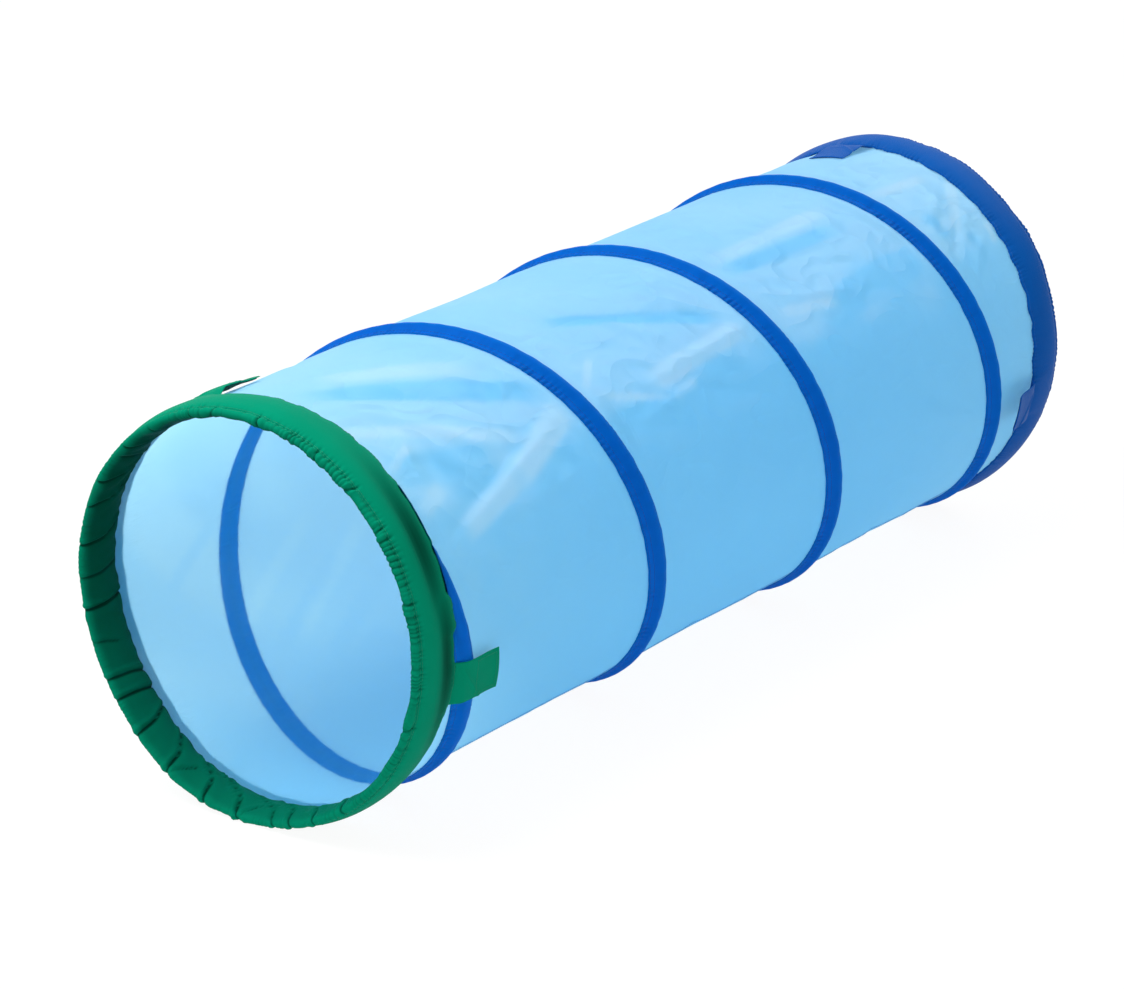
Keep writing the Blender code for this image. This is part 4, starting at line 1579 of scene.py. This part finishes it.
FRONT_CREASES = tuple(
    Crease(*row)
    for row in (
        (329.0, 0.40, 0.0014, 0.56, 0.98), (318.0, 0.50, 0.0020, 0.56, 1.02), (311.0, -0.30, 0.0014, 0.60, 1.02),
        (303.0, 0.60, 0.0030, 0.56, 1.02), (294.0, 0.70, 0.0028, 0.56, 0.98), (280.5, 0.35, 0.0028, 0.54, 1.02),
        (270.0, 0.15, 0.0014, 0.54, 0.98), (260.5, 0.10, 0.0032, 0.52, 1.02), (250.0, -0.20, 0.0009, 0.54, 0.80),
        (239.0, -0.10, 0.0025, 0.54, 1.02), (233.0, -0.05, 0.0028, 0.54, 1.02), (223.0, 0.30, 0.0028, 0.53, 1.02),
        (211.0, 0.55, 0.0032, 0.52, 1.02), (205.0, -0.90, 0.0018, 0.58, 0.98), (198.0, 0.75, 0.0034, 0.52, 1.02),
        (187.0, 0.95, 0.0037, 0.50, 1.02), (180.0, -1.00, 0.0016, 0.54, 0.92), (174.5, 1.00, 0.0018, 0.50, 0.98),
        (168.0, 0.80, 0.0025, 0.50, 1.02), (158.0, 0.50, 0.0021, 0.48, 0.92), (146.0, 0.30, 0.0021, 0.48, 0.90),
        (343.0, 0.45, 0.0018, 0.46, 0.66), (351.0, -0.30, 0.0018, 0.46, 0.66), (6.5, 0.45, 0.0022, 0.46, 0.66),
        (17.5, -0.30, 0.0020, 0.46, 0.66), (26.5, 0.45, 0.0024, 0.46, 0.66), (39.0, -0.60, 0.0026, 0.46, 0.66),
        (53.0, 0.45, 0.0018, 0.46, 0.66), (73.0, -0.30, 0.0018, 0.46, 0.66), (109.0, 0.45, 0.0018, 0.46, 0.66),
    )
)


def front_casing() -> HoopCasing:
    """The green casing."""
    return HoopCasing(
        name="front_casing_cloth",
        node="front_casing",
        body="front_end",
        slot="green_cloth",
        finish=Finish.GREEN,
        thread=Finish.GREEN_THREAD,
        wire_along=0.0,
        wire_inset=-0.0241,
        side=-1,
        section=FRONT_SECTION,
        stitch_point=7,
        gather_depth=0.0008,
        gather_arc=(62.0, 66.0),
        hollows=((60.0, 22.0, 0.030, 0.010, 0.0052), (92.0, 24.0, 0.024, 0.009, 0.0022)),
        shape=TUNNEL.front_shape,
        creases=FRONT_CREASES,
        lip_lifts=((100.5, 0.0020, 0.028), (333.0, 0.0046, 0.028), (80.0, 0.0034, 0.020)),
    )


def back_casing() -> HoopCasing:
    """The blue casing."""
    return HoopCasing(
        name="back_casing_cloth",
        node="back_casing",
        body="back_end",
        slot="blue_cloth",
        finish=Finish.BLUE,
        thread=Finish.BLUE_THREAD,
        wire_along=TUNNEL.span,
        wire_inset=0.0186,
        side=1,
        section=BACK_SECTION,
        stitch_point=6,
        gather_depth=0.0005,
        gather_arc=(30.0, 90.0),
        lip_gathers=0.0005,
        lip_lifts=((102.5, 0.0026, 0.028), (350.0, 0.0024, 0.028)),
        inner_shade=0.3,
        seed=61,
    )


def joining_tabs() -> list[JoiningTab]:
    """The four tabs, green at the front and blue at the back."""
    green = {
        "casing_body": "front_end",
        "slot": "green_cloth",
        "patch_slot": "green_hooks",
        "finish": Finish.GREEN,
        "patch_finish": Finish.HOOKS,
        "thread": Finish.GREEN_THREAD,
        "hinge_along": 0.036,
        "side": 1,
        "length": 0.081,
    }
    blue = {
        "casing_body": "back_end",
        "slot": "blue_cloth",
        "patch_slot": "blue_loops",
        "finish": Finish.BLUE,
        "patch_finish": Finish.LOOPS,
        "thread": Finish.BLUE_THREAD,
        "hinge_along": 1.277,
        "side": -1,
        "length": 0.074,
    }
    return [
        JoiningTab(name="front_tab_1", patch="hooks", turn=100.5, slope=5.0, hinge_radius=0.2395, skew=0.12, **green),
        JoiningTab(name="front_tab_2", patch="hooks", turn=333.0, slope=0.0, hinge_radius=0.2401, rise=0.0028, **green),
        JoiningTab(name="back_tab_1", patch="loops", turn=102.5, slope=15.0, hinge_radius=0.2409, **blue),
        JoiningTab(name="back_tab_2", patch="loops", turn=350.0, slope=-1.0, hinge_radius=0.2403, **blue),
    ]


def write_sizes() -> None:
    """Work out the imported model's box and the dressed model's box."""
    boxes = {"cad": CAD_BOX, "visual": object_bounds()}
    {name: [list(corner) for corner in box] for name, box in boxes.items()}


def main() -> None:
    """Build the studio and every sub-assembly, and report each piece."""
    logging.basicConfig(level=logging.INFO, format="%(name)s: %(message)s")
    Studio().build()
    dyes = Dyes()
    stitches, spirals = StitchRecipe(), SpiralRecipe()
    fabric = FabricTube(folds=PHOTO_FOLDS, glints=PHOTO_GLINTS)
    made = [fabric.build(dyes)]
    paths = fabric.seam_paths(STITCH_LIFT)
    seam = stitches.sew("tunnel_seam_stitches", paths, 0.0042, 0.00022, dyes[Finish.SKY_THREAD])
    collapse(seam)
    made += [seam, *SpiralTape().build(dyes, spirals, stitches)]
    front, back = front_casing(), back_casing()
    made += front.build(dyes, stitches)
    made += back.build(dyes, stitches)
    made.append(HoopWire(front, "front_hoop_spring", "front_hoop_wire", math.radians(65.0)).build(dyes))
    for tab in joining_tabs():
        made += tab.build(dyes, stitches)
    made += KeptSteel().build(dyes)
    for piece in made:
        LOG.info("%s: %d faces", piece.name, len(piece.data.polygons))
    write_sizes()


if __name__ == "__main__":
    main()
